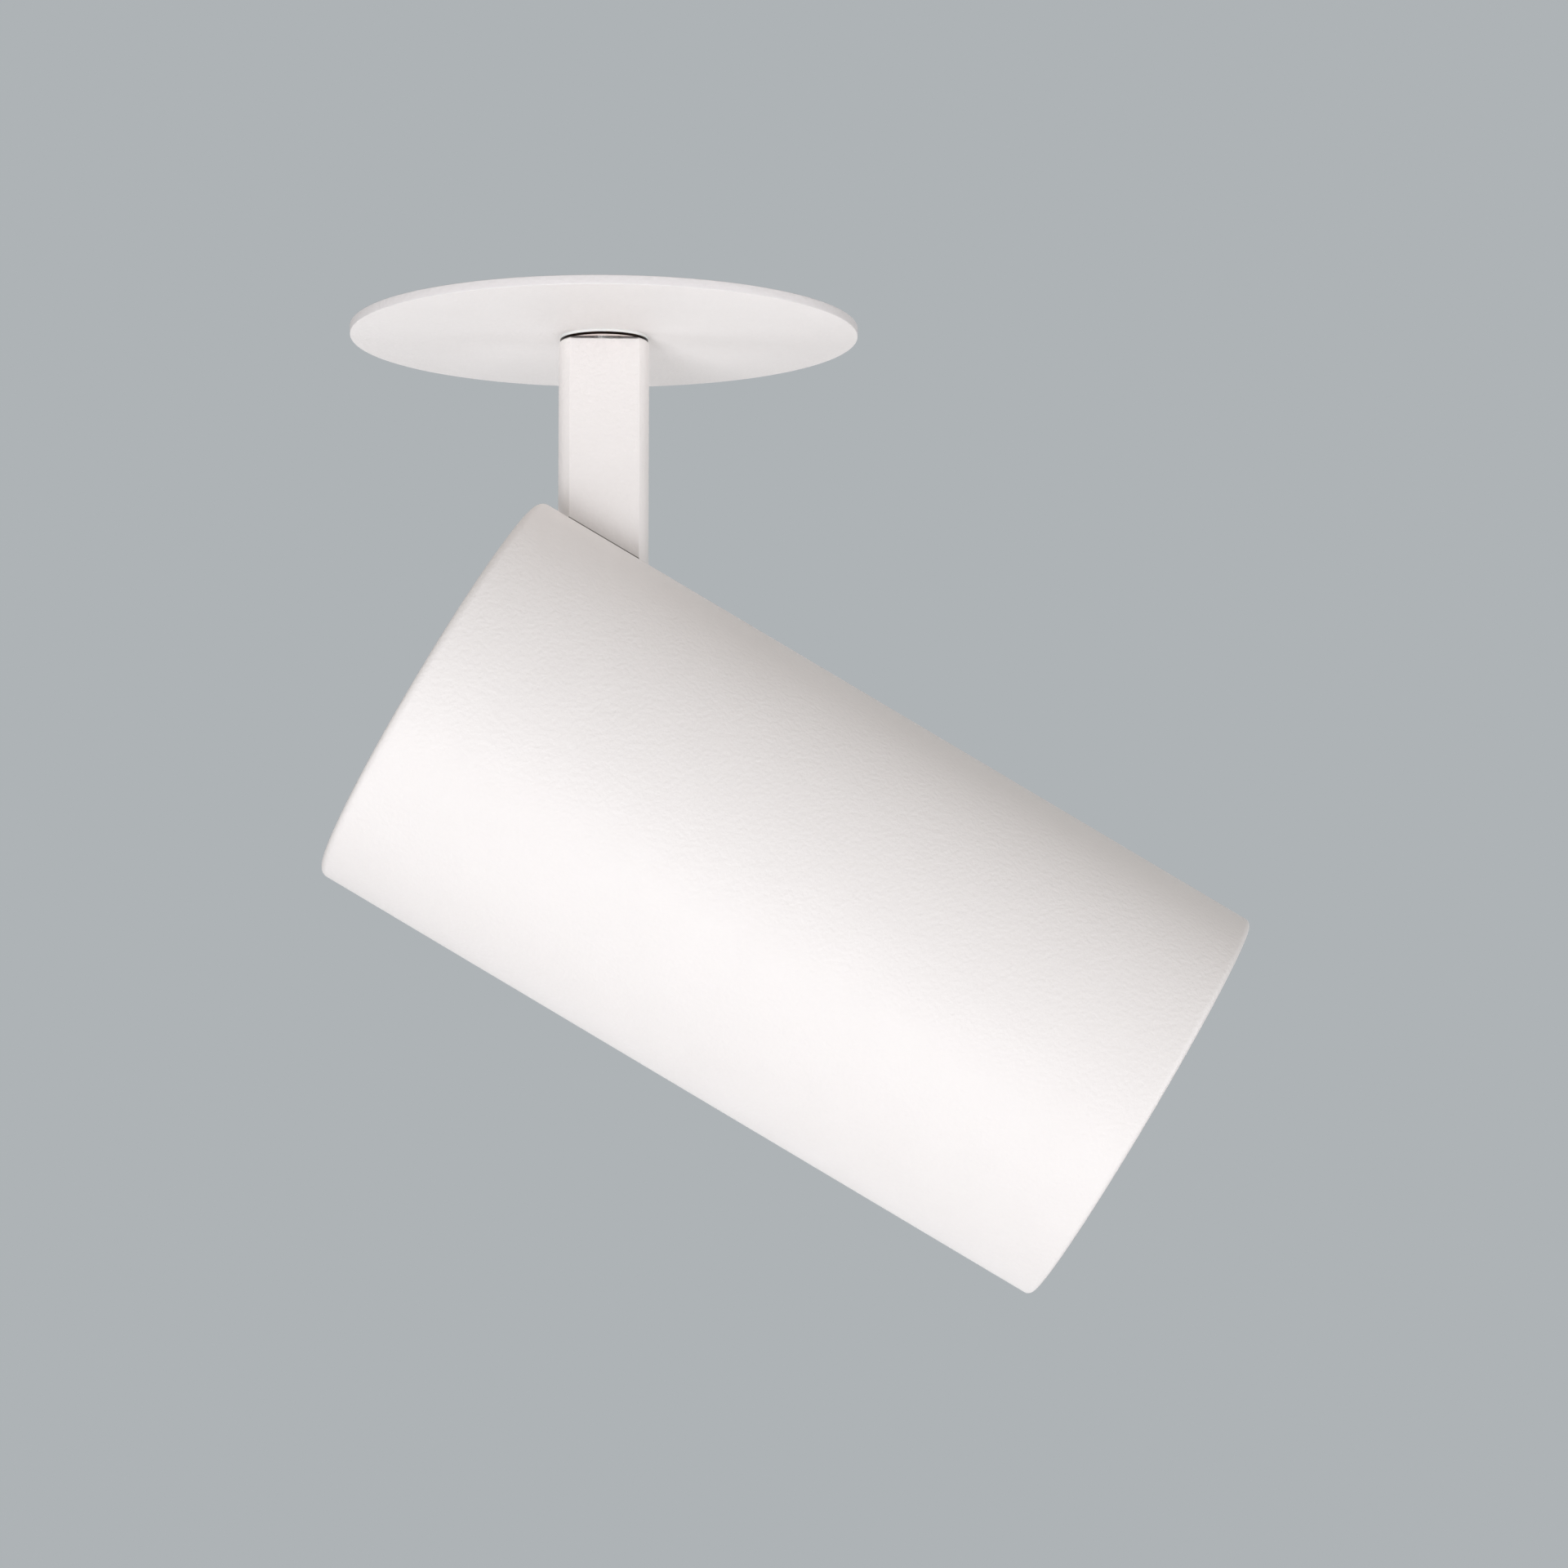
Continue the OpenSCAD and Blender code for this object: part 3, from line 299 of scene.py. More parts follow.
# Punched stainless washer: a polished face that picks up the stem, with painted shadow on its rim and along
# the strip under the stem's foot
paint_shade(surface("washer_steel_painted_shadow", "#F2E8E4", "#E6D6D0", 1.0, 0.3, 0.12, 0.0015, 3.0),
        rim_and_foot, "#1E1612")
# The coat on the stem, with painted shade that makes the milled flats a shade greyer, and a painted shadow
# line in line with the slot's edge
paint_shade(paint_shade(surface("stem_coat_painted_shade", **WHITE_COAT), milled_flats, "#EDE8E5"), slot_shadow_line, "#736E69")


# Mesh building
def add_object(name, form):
    """Makes an object of a form in metres and puts it in the scene."""
    mesh = bpy.data.meshes.new(name)
    form.to_mesh(mesh)
    form.free()
    made = bpy.data.objects.new(name, mesh)
    scene.collection.objects.link(made)
    return made


def add_copy(whole, form, place):
    """Adds a copy of one form to another, moved to a place."""
    mesh = bpy.data.meshes.new("copy")
    form.to_mesh(mesh)
    mesh.transform(place)
    whole.from_mesh(mesh)
    bpy.data.meshes.remove(mesh)


def piece(name, form, stands_for, places=(UPRIGHT,), finish=None, sharp=SHARP):
    """Turns a form in mm into a piece that replaces its solid, with a copy at each place."""
    bmesh.ops.remove_doubles(form, verts=form.verts, dist=WELD)
    bmesh.ops.dissolve_degenerate(form, edges=form.edges, dist=SPECK)
    bmesh.ops.recalc_face_normals(form, faces=form.faces)
    for face in form.faces:
        face.smooth = True
    for edge in form.edges:
        edge.smooth = len(edge.link_faces) == 2 and edge.calc_face_angle(0) < sharp
    whole = bmesh.new()
    for place in places:
        add_copy(whole, form, TO_METRES @ place)
    form.free()
    return settle(add_object(name, whole), stands_for, finish)


def settle(made, stands_for, finish=None):
    """Gives a piece its finish, and lets it ride and stand for its solid."""
    slot = slot_of[stands_for]
    made.data.materials.append(finishes[finish or slot])
    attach(made, nodes[stands_for]["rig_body"])
    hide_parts(stands_for)
    return made


def rounded(corners, steps=4):
    """A closed outline from corners (r, z, fillet), with an arc at each corner that has a fillet."""
    outline = []
    for i, (r, z, fillet) in enumerate(corners):
        here = Vector((r, z))
        before = Vector(corners[i - 1][:2]) - here
        after = Vector(corners[(i + 1) % len(corners)][:2]) - here
        if fillet == 0:
            outline.append(tuple(here))
            continue
        half = before.angle(after) / 2
        middle = here + (before.normalized() + after.normalized()).normalized() * fillet / math.sin(half)
        start = here + before.normalized() * fillet / math.tan(half) - middle
        end = here + after.normalized() * fillet / math.tan(half) - middle
        turn = start.angle_signed(end)
        for k in range(steps + 1):
            outline.append(tuple(middle + Matrix.Rotation(-turn * k / steps, 2) @ start))
    return outline


def turned(outline, sides=128, form=None, closed=True, centre=(0, 0)):
    """Revolves an outline about Z. A radius or height in it may be a function of the angle."""
    form = form or bmesh.new()
    rings = []
    for k in range(sides):
        angle = math.tau * k / sides
        row = []
        for r, z in outline:
            radius = r(angle) if callable(r) else r
            height = z(angle) if callable(z) else z
            row.append(form.verts.new((
                centre[0] + radius * math.cos(angle), centre[1] + radius * math.sin(angle), height)))
        rings.append(row)
    last = len(outline) if closed else len(outline) - 1
    for k in range(sides):
        here, there = rings[k], rings[(k + 1) % sides]
        for i in range(last):
            j = (i + 1) % len(outline)
            form.faces.new((here[i], here[j], there[j], there[i]))
    return form


def apply_steps(target):
    """Bakes a piece's modifiers into its mesh."""
    bpy.context.view_layer.update()
    ready = bpy.context.evaluated_depsgraph_get()
    done = bpy.data.meshes.new_from_object(
        target.evaluated_get(ready), preserve_all_data_layers=True, depsgraph=ready)
    target.modifiers.clear()
    target.data = done


def break_edges(target, width, segments=3):
    """Rounds a piece's crisp edges and keeps its flat faces flat."""
    step = target.modifiers.new("edges", "BEVEL")
    step.width = width * MM
    step.segments = segments
    step.limit_method = "ANGLE"
    step.angle_limit = SHARP
    step.harden_normals = True
    apply_steps(target)


def carve(target, form):
    """Cuts a form in metres out of a piece."""
    bmesh.ops.recalc_face_normals(form, faces=form.faces)
    cutter = add_object("cutter", form)
    mesh = cutter.data
    step = target.modifiers.new("carve", "BOOLEAN")
    step.operation = "DIFFERENCE"
    step.solver = "EXACT"
    step.object = cutter
    apply_steps(target)
    bpy.data.objects.remove(cutter)
    bpy.data.meshes.remove(mesh)


def slot_form(low, high):
    """The milling cutter's path for the stem's slot: rounded in front, and open past the head's back."""
    form = bmesh.new()
    outline = rounded([
        (SLOT_FRONT, -SLOT_HALF, SLOT_CORNER_R), (SLOT_FRONT, SLOT_HALF, SLOT_CORNER_R),
        (SLOT_BACK, SLOT_HALF, 0), (SLOT_BACK, -SLOT_HALF, 0)
    ], 8)
    under = [form.verts.new((x, y, low)) for x, y in outline]
    over = [form.verts.new((x, y, high)) for x, y in outline]
    form.faces.new(under)
    form.faces.new(over)
    for i in range(len(outline)):
        j = (i + 1) % len(outline)
        form.faces.new((under[i], under[j], over[j], over[i]))
    return form


def merge_flats(form):
    """Joins the faces that lie in one plane, so that cuts and broken edges come out clean."""
    bmesh.ops.remove_doubles(form, verts=form.verts, dist=2 * WELD)
    bmesh.ops.dissolve_limit(form, angle_limit=math.radians(0.5), verts=form.verts, edges=form.edges)


def softened(node, width, segments=2, finish=None):
    """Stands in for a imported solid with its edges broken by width, as tools and coats leave them."""
    form = bmesh.new()
    form.from_mesh(nodes[node].data)
    form.transform(Matrix.Scale(1 / MM, 4))
    merge_flats(form)
    made = piece(node + "_softened", form, node, finish=finish)
    break_edges(made, width, segments)
    return made


def ring_of_spots(radius, degrees):
    """Spots at these angles on a circle round Z."""
    return [(radius * math.cos(math.radians(a)), radius * math.sin(math.radians(a))) for a in degrees]


def hexagon(flats):
    """Gives a hexagon of this size across its flats, as a radius at each angle."""
    return lambda angle: flats / 2 / math.cos((angle + math.pi / 6) % (math.pi / 3) - math.pi / 6)


def hex_nut(form, flats, bore, low, high, centre=(0, 0)):
    """A pressed nut: chamfered corners on both faces and a countersunk bore."""
    corner = flats / 2 / math.cos(math.pi / 6)
    edge = hexagon(flats)
    fall = math.tan(math.radians(30))
    face_r = flats / 2 * 0.97

    def drop(angle):
        return (edge(angle) - face_r) * fall

    sink = 0.08 * corner
    turned([
        (bore, low + sink), (bore + sink, low), (face_r, low), (edge, lambda a: low + drop(a)),
        (edge, lambda a: high - drop(a)), (face_r, high), (bore + sink, high), (bore, high - sink)
    ], 72, form, centre=centre)


def cap_screw(form, reach, head, low, centre):
    """A 3 mm cap screw with a knurled head that stands on low, a hexagonal socket and a shank below."""
    shank_r = 1.5
    key = hexagon(2.5)
    top = low + 2.4
    socket_depth = 1.2
    socket_cone = 0.375
    sides = 72

    def knurl(angle):
        return head / 2 - 0.07 * (round(angle / math.tau * sides) % 2)

    turned([
        (0.0, low - reach), (shank_r - 0.3, low - reach), (shank_r, low - reach + 0.3), (shank_r, low),
        (head / 2 - 0.15, low), (knurl, low + 0.15), (knurl, top - 0.35), (head / 2 - 0.1, top - 0.15),
        (head / 2 - 0.3, top), (lambda a: key(a) + 0.12, top), (key, top - 0.12), (key, top - socket_depth),
        (0.0, top - socket_depth - socket_cone)
    ], sides, form, closed=False, centre=centre)


def thread(form, size, pitch, low, high, centre=(0, 0)):
    """A threaded rod between two heights, which runs out to its core at both ends."""
    cut_depth = 0.61 * pitch
    steps = 6
    sides = 36
    rows = []
    for k in range(int((high - low) / pitch * steps) + 2 * steps + 1):
        swell = 1 - abs((k / steps % 1) * 2 - 1)
        row = []
        for j in range(sides + 1):
            angle = math.tau * j / sides
            z = low + pitch * (k / steps - 1 + j / sides)
            run_out = min(max(min(high - z, z - low) / pitch * 2, 0), 1)
            radius = size / 2 - cut_depth * (1 - swell * run_out)
            row.append(form.verts.new((
                centre[0] + radius * math.cos(angle), centre[1] + radius * math.sin(angle),
                min(max(z, low), high))))
        rows.append(row)
    for a, b in zip(rows, rows[1:]):
        for j in range(sides):
            form.faces.new((a[j], a[j + 1], b[j + 1], b[j]))
    form.faces.new(rows[-1][:-1])
    form.faces.new(rows[0][:-1])


def wire(name, stands_for, runs, diameter, place=UPRIGHT, finish=None):
    """Round wires or leads along runs of points in mm."""
    curve = bpy.data.curves.new(name, "CURVE")
    curve.dimensions = "3D"
    curve.bevel_depth = diameter / 2 * MM
    curve.bevel_resolution = 5
    curve.use_fill_caps = True
    for run in runs:
        line = curve.splines.new("POLY")
        line.points.add(len(run) - 1)
        line.use_smooth = True
        for point, spot in zip(line.points, run):
            point.co = (*(place @ Vector(spot) * MM), 1)
    made = bpy.data.objects.new(name, curve)
    scene.collection.objects.link(made)
    return settle(made, stands_for, finish)


def swerve(start, end, pull, along=(0, 1, 0), count=16):
    """Points on an S between two spots, leaving and arriving along one direction."""
    a = Vector(start)
    d = Vector(end)
    b = a + Vector(along) * pull
    c = d - Vector(along) * pull
    return [
        a * (1 - t) ** 3 + b * 3 * t * (1 - t) ** 2 + c * 3 * t * t * (1 - t) + d * t ** 3
        for t in (k / count for k in range(count + 1))
    ]


def arc(centre, u, v, radius, start, end, count):
    """Points on an arc round centre, from start to end in degrees, u towards 0 and v towards 90."""
    points = []
    for k in range(count + 1):
        a = math.radians(start + (end - start) * k / count)
        points.append(Vector(centre) + (Vector(u) * math.cos(a) + Vector(v) * math.sin(a)) * radius)
    return points


# Camera at the photograph's angle
camera = bpy.data.objects.new("camera", bpy.data.cameras.new("camera"))
scene.collection.objects.link(camera)
scene.camera = camera
camera.location = (-0.02182, -1.04365, -0.21769)
camera.rotation_euler = Vector((0.05103, 0.99027, 0.12947)).to_track_quat("-Z", "Y").to_euler()
camera.data.sensor_width = 36
camera.data.lens = 137.52

# Ceiling plate and the washers that the stem turns on
piece("plate_disc", turned(rounded([
    (6.02, PLATE_LOW, 0.1), (PLATE_R, PLATE_LOW, 0.14), (PLATE_R, 0, 0.12), (SEAT_R, 0, 0.05),
    (SEAT_R, SEAT_Z, 0), (6.02, SEAT_Z, 0)
]), 256), "ceiling_plate", finish="plate_coat_painted_rim_shade")
piece("slip_washer_ring", turned(rounded([
    (WASHER_BORE_R, SLIP_WASHER_LOW, 0), (WASHER_R, SLIP_WASHER_LOW, 0.1),
    (WASHER_R, PLATE_LOW, 0), (WASHER_BORE_R, PLATE_LOW, 0)
])), "slip_washer")
piece("steel_washer_ring", turned(rounded([
    (WASHER_BORE_R, STEEL_WASHER_LOW, 0.08), (WASHER_R, STEEL_WASHER_LOW, 0.1),
    (WASHER_R, STEEL_WASHER_HIGH, 0), (WASHER_BORE_R, STEEL_WASHER_HIGH, 0)
])), "steel_washer", finish="washer_steel_painted_shadow")
piece("bush_ring", turned(rounded([
    (5.05, PLATE_LOW, 0.2), (6, PLATE_LOW, 0), (6, SEAT_Z, 0), (9, SEAT_Z, 0), (9, 0.5, 0.2),
    (5.05, 0.5, 0.2)
])), "bearing_bush")

# Bracket on its four welded studs
softened("mounting_bracket", 0.2)
studs = bmesh.new()
nuts = bmesh.new()
for spot in ring_of_spots(STUD_CIRCLE_R, (45, 135, 225, 315)):
    thread(studs, 3, 0.5, SEAT_Z, 4.4, spot)
    hex_nut(nuts, 5.5, 1.55, 1.2, 3.6, spot)
piece("threaded_studs", studs, "plate_studs")
piece("stud_nuts", nuts, "plate_nuts")

# Clips: arm, peened pin and coil spring on each side
PIN = Matrix.Translation((27, 0, 3.9))
both_sides = (UPRIGHT, HALF_TURN)
softened("clip_arm_right", 0.12)
softened("clip_arm_left", 0.12)
pin_end = [(0.0, 8.7), (1.05, 8.7), (1.5, 8.6), (1.7, 8.4), (1.7, 8.2), (1.2, 8.2)]
piece("peened_pins", turned(pin_end + [(r, -z) for r, z in reversed(pin_end)], 48, closed=False),
      "clip_pins", [side @ PIN @ Matrix.Rotation(math.pi / 2, 4, "X") for side in both_sides])
COIL_R = 1.75
COIL_START = -3.0
COIL_PITCH = 1.2
COIL_TURNS = 5
COIL_STEPS = 24
coil = [Vector((-6.5 * s, COIL_START, -COIL_R - 0.55 * s)) for s in (1, 0.8, 0.6, 0.4, 0.2)]
for k in range(COIL_TURNS * COIL_STEPS + 1):
    turn = math.tau * k / COIL_STEPS
    coil.append(Vector((
        COIL_R * math.sin(turn), COIL_START + COIL_PITCH * k / COIL_STEPS, -COIL_R * math.cos(turn))))
wire("coil_springs", "clip_springs", [[side @ PIN @ p for p in coil] for side in both_sides], 0.7)

# Terminal block with its brass tubes, screws and the lead that ends in it
BLOCK_Y = 24
TERMINAL_X = 5.2
GRUB_Y = (21, 27)
softened("terminal_block", 0.35, 3)
softened("terminal_tubes", 0.12)
form = bmesh.new()
for x in (-TERMINAL_X, TERMINAL_X):
    for y in GRUB_Y:
        turned([(0.0, 6.2), (0.95, 6.2), (1.25, 6.5), (1.25, 10.5), (1.05, 10.7), (0.0, 10.7)],
               48, form, closed=False, centre=(x, y))
merge_flats(form)
grub_screws = piece("slotted_grub_screws", form, "terminal_screws")
form = bmesh.new()
for y in GRUB_Y:
    bar = Matrix.Translation((0, y, 10.45)) @ Matrix.Diagonal((16, 0.5, 1.1, 1))
    bmesh.ops.create_cube(form, size=1, matrix=TO_METRES @ bar)
carve(grub_screws, form)
grub_screws.data.set_sharp_from_angle(angle=SHARP)
form = bmesh.new()
cap_screw(form, 3, 5.5, 4.2, (0, BLOCK_Y))
piece("block_cap_screw", form, "block_screw")
wire("ceiling_lead_sheath", "ceiling_lead",
     [arc((0, 3, 5), (0, -1, 0), (0, 0, 1), 3, 0, 90, 14) + [Vector((0, 12.5, 8))]], LEAD_D)
# Name, side and finish of the two cores, and how far each lies from the lead's middle
CORES = (("black_core", 1, "core_insulation"), ("red_core", -1, "core_insulation_red"))
CORE_OFF = 0.78
for name, side, finish in CORES:
    wire("ceiling_" + name, "ceiling_lead_cores", [
        swerve((side * CORE_OFF, 12.5, 8), (side * TERMINAL_X, 17.2, 5.5), 2.4)
        + [Vector((side * TERMINAL_X, 20, 5.5))]
    ], CORE_D, finish=finish)

# Stem, and the stack that holds it in the plate
stem = softened("stem", 0.25, 3, "stem_coat_painted_shade")
# The neck above the shoulder is masked from the coat, and only plated
NECK_FROM = -2.49
stem.data.materials.append(finishes["zinc_plated_steel"])
for face in stem.data.polygons:
    if face.center.z > NECK_FROM * MM:
        face.material_index = 1
softened("stop_washer", 0.1)
softened("neck_disc_spring", 0.05)
form = bmesh.new()
hex_nut(form, 14, 5.02, 2.05, 4.55)
piece("thin_lock_nut", form, "lock_nut")
wire("stem_lead_sheath", "stem_lead", [[(0, 0, z) for z in (-90.3, -40, 4.9)]], LEAD_D)

# Tilt pivot: shoulder screws, washers and springs on both sides
form = bmesh.new()
socket = hexagon(4)
turned([
    (0.0, 2.6), (2.2, 2.6), (2.48, 2.9), (2.48, 5.1), (3, 5.1), (3, 8.8), (4.8, 8.8), (5, 9.0), (5, 10.6),
    (4.88, 10.88), (4.6, 11), (lambda a: socket(a) + 0.15, 11), (socket, 10.85), (socket, 9.53), (0.0, 9.1)
], 72, form, closed=False)
PIVOT = Matrix.Translation((0, 0, PIVOT_Z))
piece("shoulder_screws", form, "pivot_screws",
      [PIVOT @ Matrix.Rotation(side * math.pi / 2, 4, "X") for side in (1, -1)])
softened("friction_washers", 0.06)
softened("pivot_disc_springs", 0.05)

# Head tube: rounded ends, stepped bore, and the slot that the stem swings in
tube = piece("tube_shell", turned(rounded([
    (FRONT_BORE_R, HEAD_FRONT, 0.3), (FRONT_BORE_R, SINK_FRONT, 0), (SINK_BORE_R, SINK_FRONT, 0),
    (SINK_BORE_R, CAP_FRONT, 0), (CAP_SEAT_R, CAP_FRONT, 0), (CAP_SEAT_R, HEAD_BACK, 0.2),
    (HEAD_R, HEAD_BACK, 1.6), (HEAD_R, HEAD_FRONT, 1.2)
], 6), 180), "head_tube", [ALONG_HEAD])
form = slot_form(0, 60)
form.transform(TO_METRES @ HEAD)
carve(tube, form)
break_edges(tube, 0.3)

# Back cap and its countersunk screws
form = turned([(0.0, CAP_BACK), (CAP_R, CAP_BACK), (CAP_R, CAP_FRONT), (0.0, CAP_FRONT)], 180, closed=False)
merge_flats(form)
cap = piece("slotted_cap", form, "back_cap", [ALONG_HEAD])
CAP_SCREW_CIRCLE_R = 29
cap_screw_spots = ring_of_spots(CAP_SCREW_CIRCLE_R, (60, 120, 240, 300))
form = slot_form(CAP_BACK - 1, CAP_FRONT + 1)
form.transform(ALONG_HEAD)
holes = bmesh.new()
for spot in cap_screw_spots:
    turned([(0.0, 30.9), (1.6, 30.9), (1.6, 33.2), (3, 35.1), (0.0, 35.1)],
           48, holes, closed=False, centre=spot)
bmesh.ops.remove_doubles(holes, verts=holes.verts, dist=WELD)
add_copy(form, holes, TOWARDS_BACK)
holes.free()
form.transform(TO_METRES)
carve(cap, form)
break_edges(cap, 0.2)
form = bmesh.new()
socket = hexagon(2)
for spot in cap_screw_spots:
    turned([
        (0.0, 25.9), (1.2, 25.9), (1.5, 26.2), (1.5, 33.2), (2.66, 34.8), (2.56, 34.9),
        (lambda t: socket(t) + 0.1, 34.9), (socket, 34.8), (socket, 33.7), (0.0, 33.4)
    ], 72, form, closed=False, centre=spot)
piece("countersunk_cap_screws", form, "cap_screws", [TOWARDS_BACK])
softened("cap_standoffs", 0.3)

# Tilt bracket on the heat sink
softened("tilt_bracket", 0.3)
form = bmesh.new()
for spot in ((8, 16.5), (8, -16.5), (-8, 16.5), (-8, -16.5)):
    cap_screw(form, 5.2, 5.5, -9.5, spot)
piece("bracket_cap_screws", form, "bracket_screws", [TOWARDS_BACK])
softened("heat_sink", 0.25)

# Light engine: emitter under gel inside its dam, the holder and its screws, and the lead
piece("gel_dome", turned([
    (0.0, 62.12), (6.5, 62.12), (6.5, 62.42), (5.6, 62.52), (4.2, 62.6), (2.2, 62.65), (0.0, 62.66)
], 64, closed=False), "led_emitter", [ALONG_HEAD])
piece("gel_dam", turned(rounded([
    (6.45, 62.1, 0), (7, 62.1, 0), (7, 62.7, 0.25), (6.45, 62.7, 0.2)
]), 64), "led_emitter", [ALONG_HEAD], finish="board_mask")
softened("led_holder", 0.35, 3)
form = bmesh.new()
for y in (19.15, -19.15):
    cap_screw(form, 8.3, 5, 63.6, (0, y))
piece("holder_cap_screws", form, "holder_screws", [ALONG_HEAD])
wire("head_lead_sheath", "head_lead", [
    [Vector((6.5, 0, -7.2))] + arc((11, 0, -19.5), (-1, 0, 0), (0, 0, -1), 4.5, 0, 90, 14)
    + [Vector((61.2, 0, -24))]
], LEAD_D, HEAD)
for name, side, finish in CORES:
    y = side * CORE_OFF
    wire("board_" + name, "head_lead_cores", [
        [Vector((61.2, y, -24))] + arc((61.9, y, -23.05), (0, 0, -1), (1, 0, 0), 0.95, 0, 90, 8)
        + [Vector((62.85, y, -13.5))]
    ], CORE_D, HEAD, finish)

# Reflector: a parabolic bowl of flat facets that grow towards the mouth
BOWL_BACK_R = 9
BOWL_FRONT_R = 31
BOWL_BACK = 66
BOWL_DEPTH = 27
spread = BOWL_FRONT_R ** 2 - BOWL_BACK_R ** 2
bowl = []
for k in range(12):
    share = k / 11
    bowl.append((math.sqrt(BOWL_BACK_R ** 2 + spread * share), BOWL_BACK + BOWL_DEPTH * share))
piece("faceted_bowl", turned(
    bowl + [(34.1, 93), (34.1, 92), (32, 92)] + [(r + 1, z) for r, z in reversed(bowl[:-1])], 40),
    "reflector", [ALONG_HEAD], sharp=math.radians(1.5))

# Front glass, its gasket, and the stepped baffle that hides it from the side
piece("glass_disc", turned([
    (0.0, 93.05), (33.2, 93.05), (33.5, 93.35), (33.5, 95.75), (33.2, 96.05), (0.0, 96.05)
], 160, closed=False), "front_glass", [ALONG_HEAD])
piece("gasket_ring", turned(rounded([
    (31.1, 96.1, 0.15), (34.1, 96.1, 0.1), (34.1, 96.7, 0.1), (31.1, 96.7, 0.15)
])), "glass_gasket", [ALONG_HEAD])
# The baffle's inside: sharp-edged steps that widen towards the mouth
STEPS = 7
BAFFLE_BACK = 96.75
BAFFLE_R = 34.2
GROOVE_R = 32.5
STEP_LEN = 11.85 / STEPS
inside = []
for k in range(STEPS):
    inside += [
        (30.5 + 2 / STEPS * k, BAFFLE_BACK + STEP_LEN * k),
        (30.85 + 2 / STEPS * k, BAFFLE_BACK + STEP_LEN * k + 0.01),
        (30.5 + 2 / STEPS * (k + 1) + 0.04, BAFFLE_BACK + STEP_LEN * (k + 1) - 0.06)
    ]
piece("stepped_baffle", turned(inside + [
    (32.5, 108.6), (33.9, 108.6), (BAFFLE_R, 108.3), (BAFFLE_R, 101.5), (GROOVE_R, 101.5),
    (GROOVE_R, 99.6), (BAFFLE_R, 99.6), (BAFFLE_R, BAFFLE_BACK)
], 180), "baffle", [ALONG_HEAD])
round_angles = [math.tau * k / 20 for k in range(20)]
piece("o_ring", turned([(33.45 + 0.9 * math.cos(a), 100.55 + 0.9 * math.sin(a)) for a in round_angles]),
      "baffle_o_ring", [ALONG_HEAD])

# Room, light and floor
BACKDROP = "#AEB3B6"
DAYLIGHT = (1.038, 1.0, 0.952, 1)
LAMPLIGHT = (0.98, 1.0, 1.042)
# The lamps face a spot just below the tilt axis, in metres
AIM = Vector((0, 0, -0.09))
# Level and radius of the floor, and the distances between which it fades, in metres
FLOOR_Z = -1.75
FLOOR_R = 12
FADE = (2.5, 8.0)


def looked_at(tree):
    """Is 1 where the camera sees a surface, also in metal and through glass."""
    path = add_node(tree, "LightPath", {})
    seen = add_node(tree, "Math", {
        "operation": "MAXIMUM", 0: path.outputs["Is Camera Ray"], 1: path.outputs["Is Transmission Ray"]})
    return add_node(tree, "Math", {
        "operation": "MAXIMUM", 0: seen.outputs[0], 1: path.outputs["Is Glossy Ray"]}).outputs[0]


world = bpy.data.worlds.new("studio")
scene.world = world
world.use_nodes = True
world.node_tree.nodes.clear()
# The room's own light comes from overhead, and is a little warm
towards = add_node(world.node_tree, "TexCoord", {}).outputs["Generated"]
height = add_node(world.node_tree, "SeparateXYZ", {"Vector": towards}).outputs["Z"]
daylight = add_node(world.node_tree, "MapRange", {
    "Value": height, "From Min": -0.2, "From Max": 0.9, "To Min": 0.15, "To Max": 0.42})
sky = add_node(world.node_tree, "Background", {"Color": DAYLIGHT, "Strength": daylight.outputs[0]})
backdrop = add_node(world.node_tree, "Background", {"Color": linear(BACKDROP), "Strength": 1.0})
both = add_node(world.node_tree, "MixShader", {
    0: looked_at(world.node_tree), 1: sky.outputs[0], 2: backdrop.outputs[0]})
add_node(world.node_tree, "OutputWorld", {"Surface": both.outputs[0]})


def soft_lamp(name, spot, size, watts):
    """A square softbox that faces the object and doesn't show itself."""
    light = bpy.data.lights.new(name, "AREA")
    light.shape = "SQUARE"
    light.size = size
    light.energy = watts
    light.color = LAMPLIGHT
    made = bpy.data.objects.new(name, light)
    scene.collection.objects.link(made)
    made.location = spot
    made.rotation_euler = (AIM - Vector(spot)).to_track_quat("-Z", "Y").to_euler()
    made.visible_camera = False


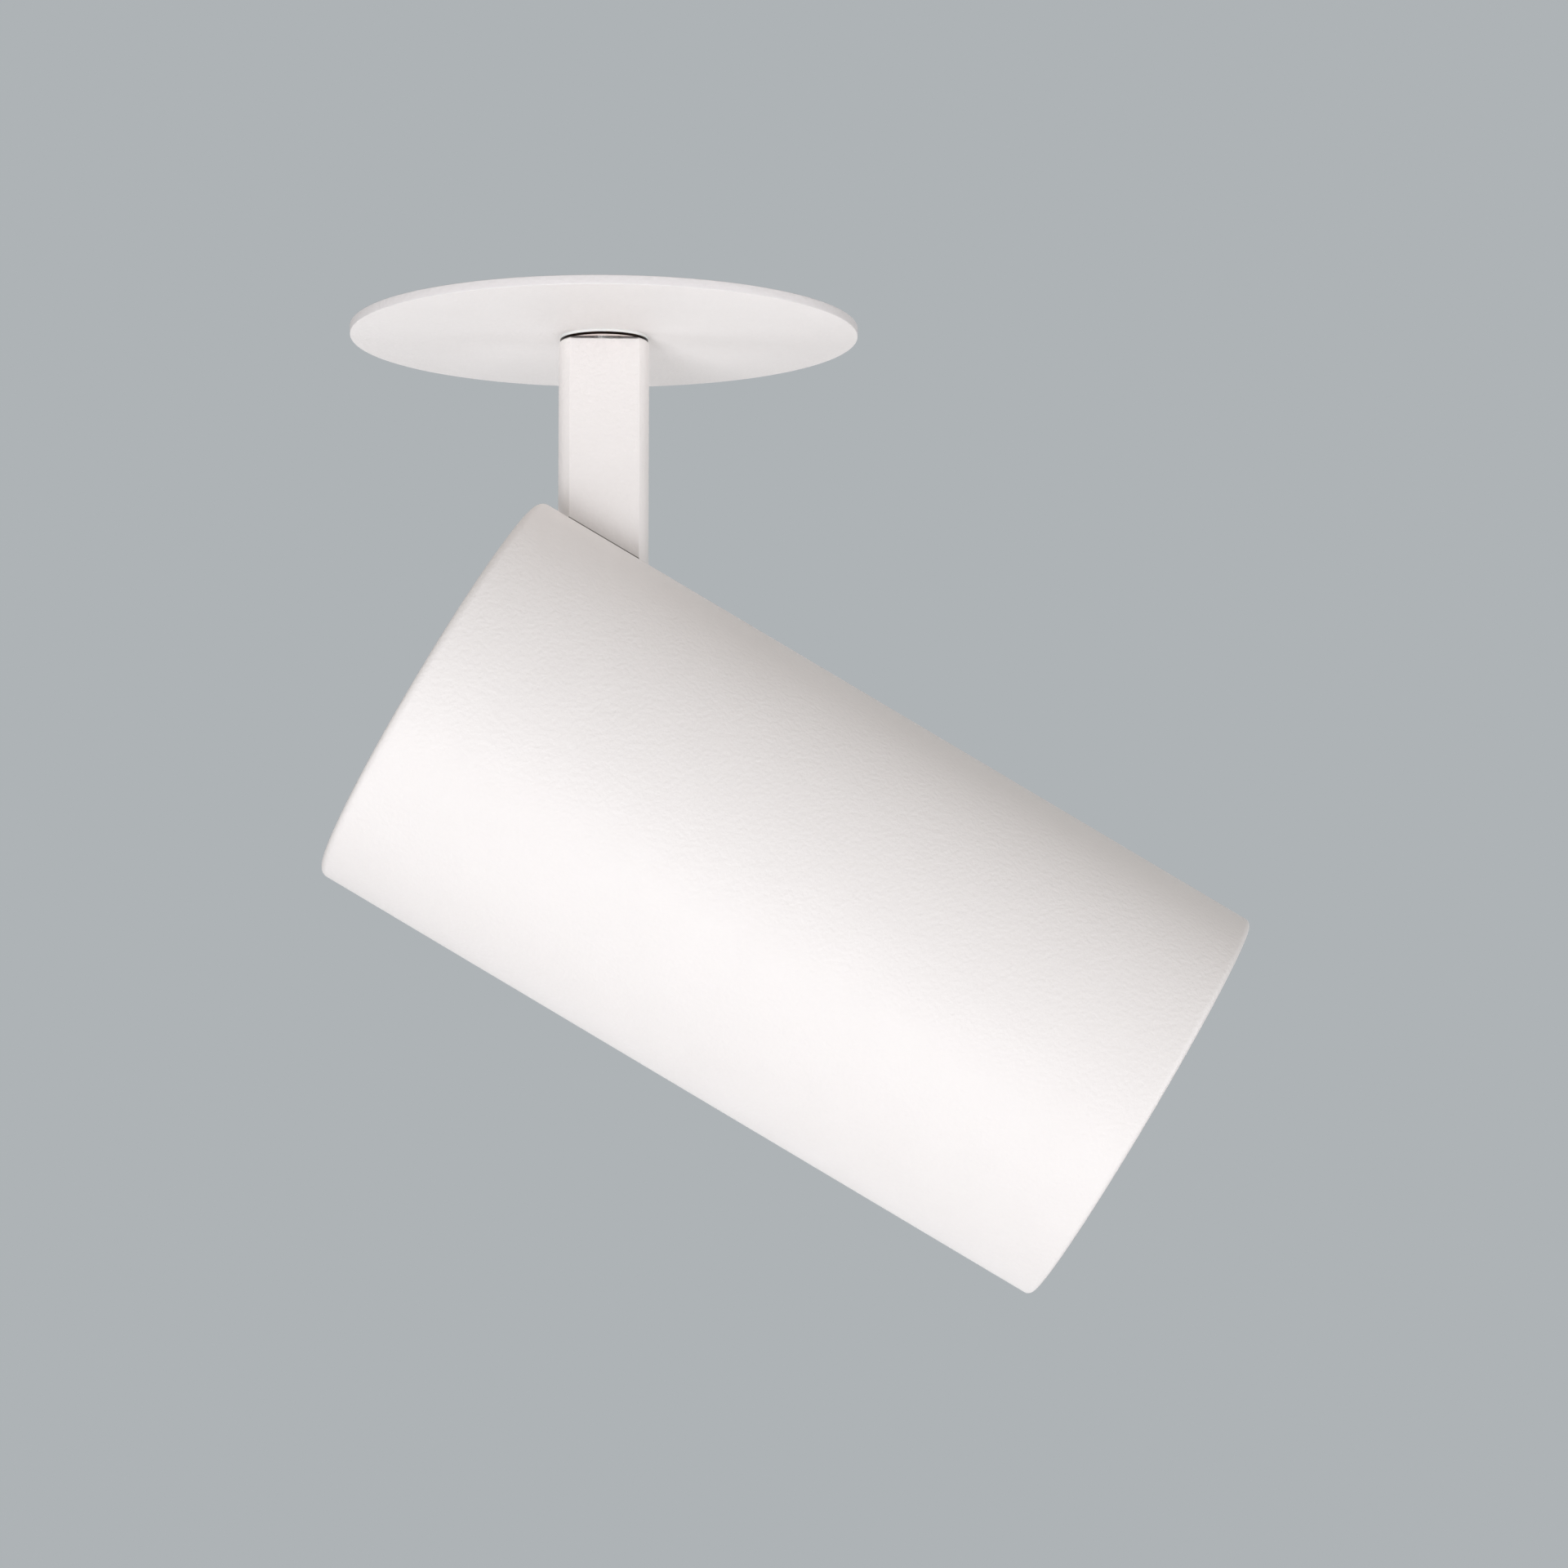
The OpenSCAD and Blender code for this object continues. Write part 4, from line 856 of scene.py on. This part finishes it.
soft_lamp("key_lamp", (-0.514, -1.413, -0.637), 0.5, 9.5)
soft_lamp("low_key_lamp", (-0.431, -1.185, -1.075), 0.5, 3.54)
soft_lamp("low_right_lamp", (0.431, -1.185, -1.075), 0.5, 2.63)
soft_lamp("front_softbox", (0, -1.5, 0.5), 1.2, 2.38)
soft_lamp("low_left_lamp", (-1.428, -0.252, -0.766), 0.6, 3.03)
soft_lamp("lowest_left_lamp", (-1.207, -0.213, -1.118), 0.6, 1.74)
soft_lamp("right_lamp", (1.522, -0.268, -0.504), 0.5, 2.81)
soft_lamp("right_softbox", (1.6, -0.5, -0.3), 1.2, 6.29)
soft_lamp("low_back_fill", (0, 1.2, -1.0), 1.2, 4.77)
soft_lamp("high_back_glint", (0.3, 0.8, 1.5), 0.35, 1.0)

form = bmesh.new()
bmesh.ops.create_circle(form, cap_ends=True, segments=128, radius=FLOOR_R)
form.transform(Matrix.Translation((0, 0, FLOOR_Z)))
floor = add_object("floor", form)
# Painted board: a plain pale grey that fades into the backdrop away from the object
board = surface("painted_board", "#E7E8E9", "#E4E5E7", 0.0, 0.8, 2.0, 0.01, 60.0)
tree = board.node_tree
place = add_node(tree, "TexCoord", {}).outputs["Object"]
away = add_node(tree, "VectorMath", {"operation": "LENGTH", 0: place}).outputs["Value"]
fade = add_node(tree, "MapRange", {
    "Value": away, "From Min": FADE[0], "From Max": FADE[1], "To Min": 0.5, "To Max": 1.0,
    "interpolation_type": "SMOOTHSTEP"})
share = add_node(tree, "Math", {"operation": "MULTIPLY", 0: fade.outputs[0], 1: looked_at(tree)})
sweep = add_node(tree, "Emission", {"Color": linear(BACKDROP), "Strength": 1.0})
lit = next(n for n in tree.nodes if n.type == "BSDF_PRINCIPLED").outputs["BSDF"]
blend = add_node(tree, "MixShader", {0: share.outputs[0], 1: lit, 2: sweep.outputs[0]})
shown = next(n for n in tree.nodes if n.type == "OUTPUT_MATERIAL")
tree.links.new(blend.outputs[0], shown.inputs["Surface"])
floor.data.materials.append(board)

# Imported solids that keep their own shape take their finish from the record's slots
for name, solid in nodes.items():
    for held in solid.material_slots:
        held.material = finishes[slot_of[name]]
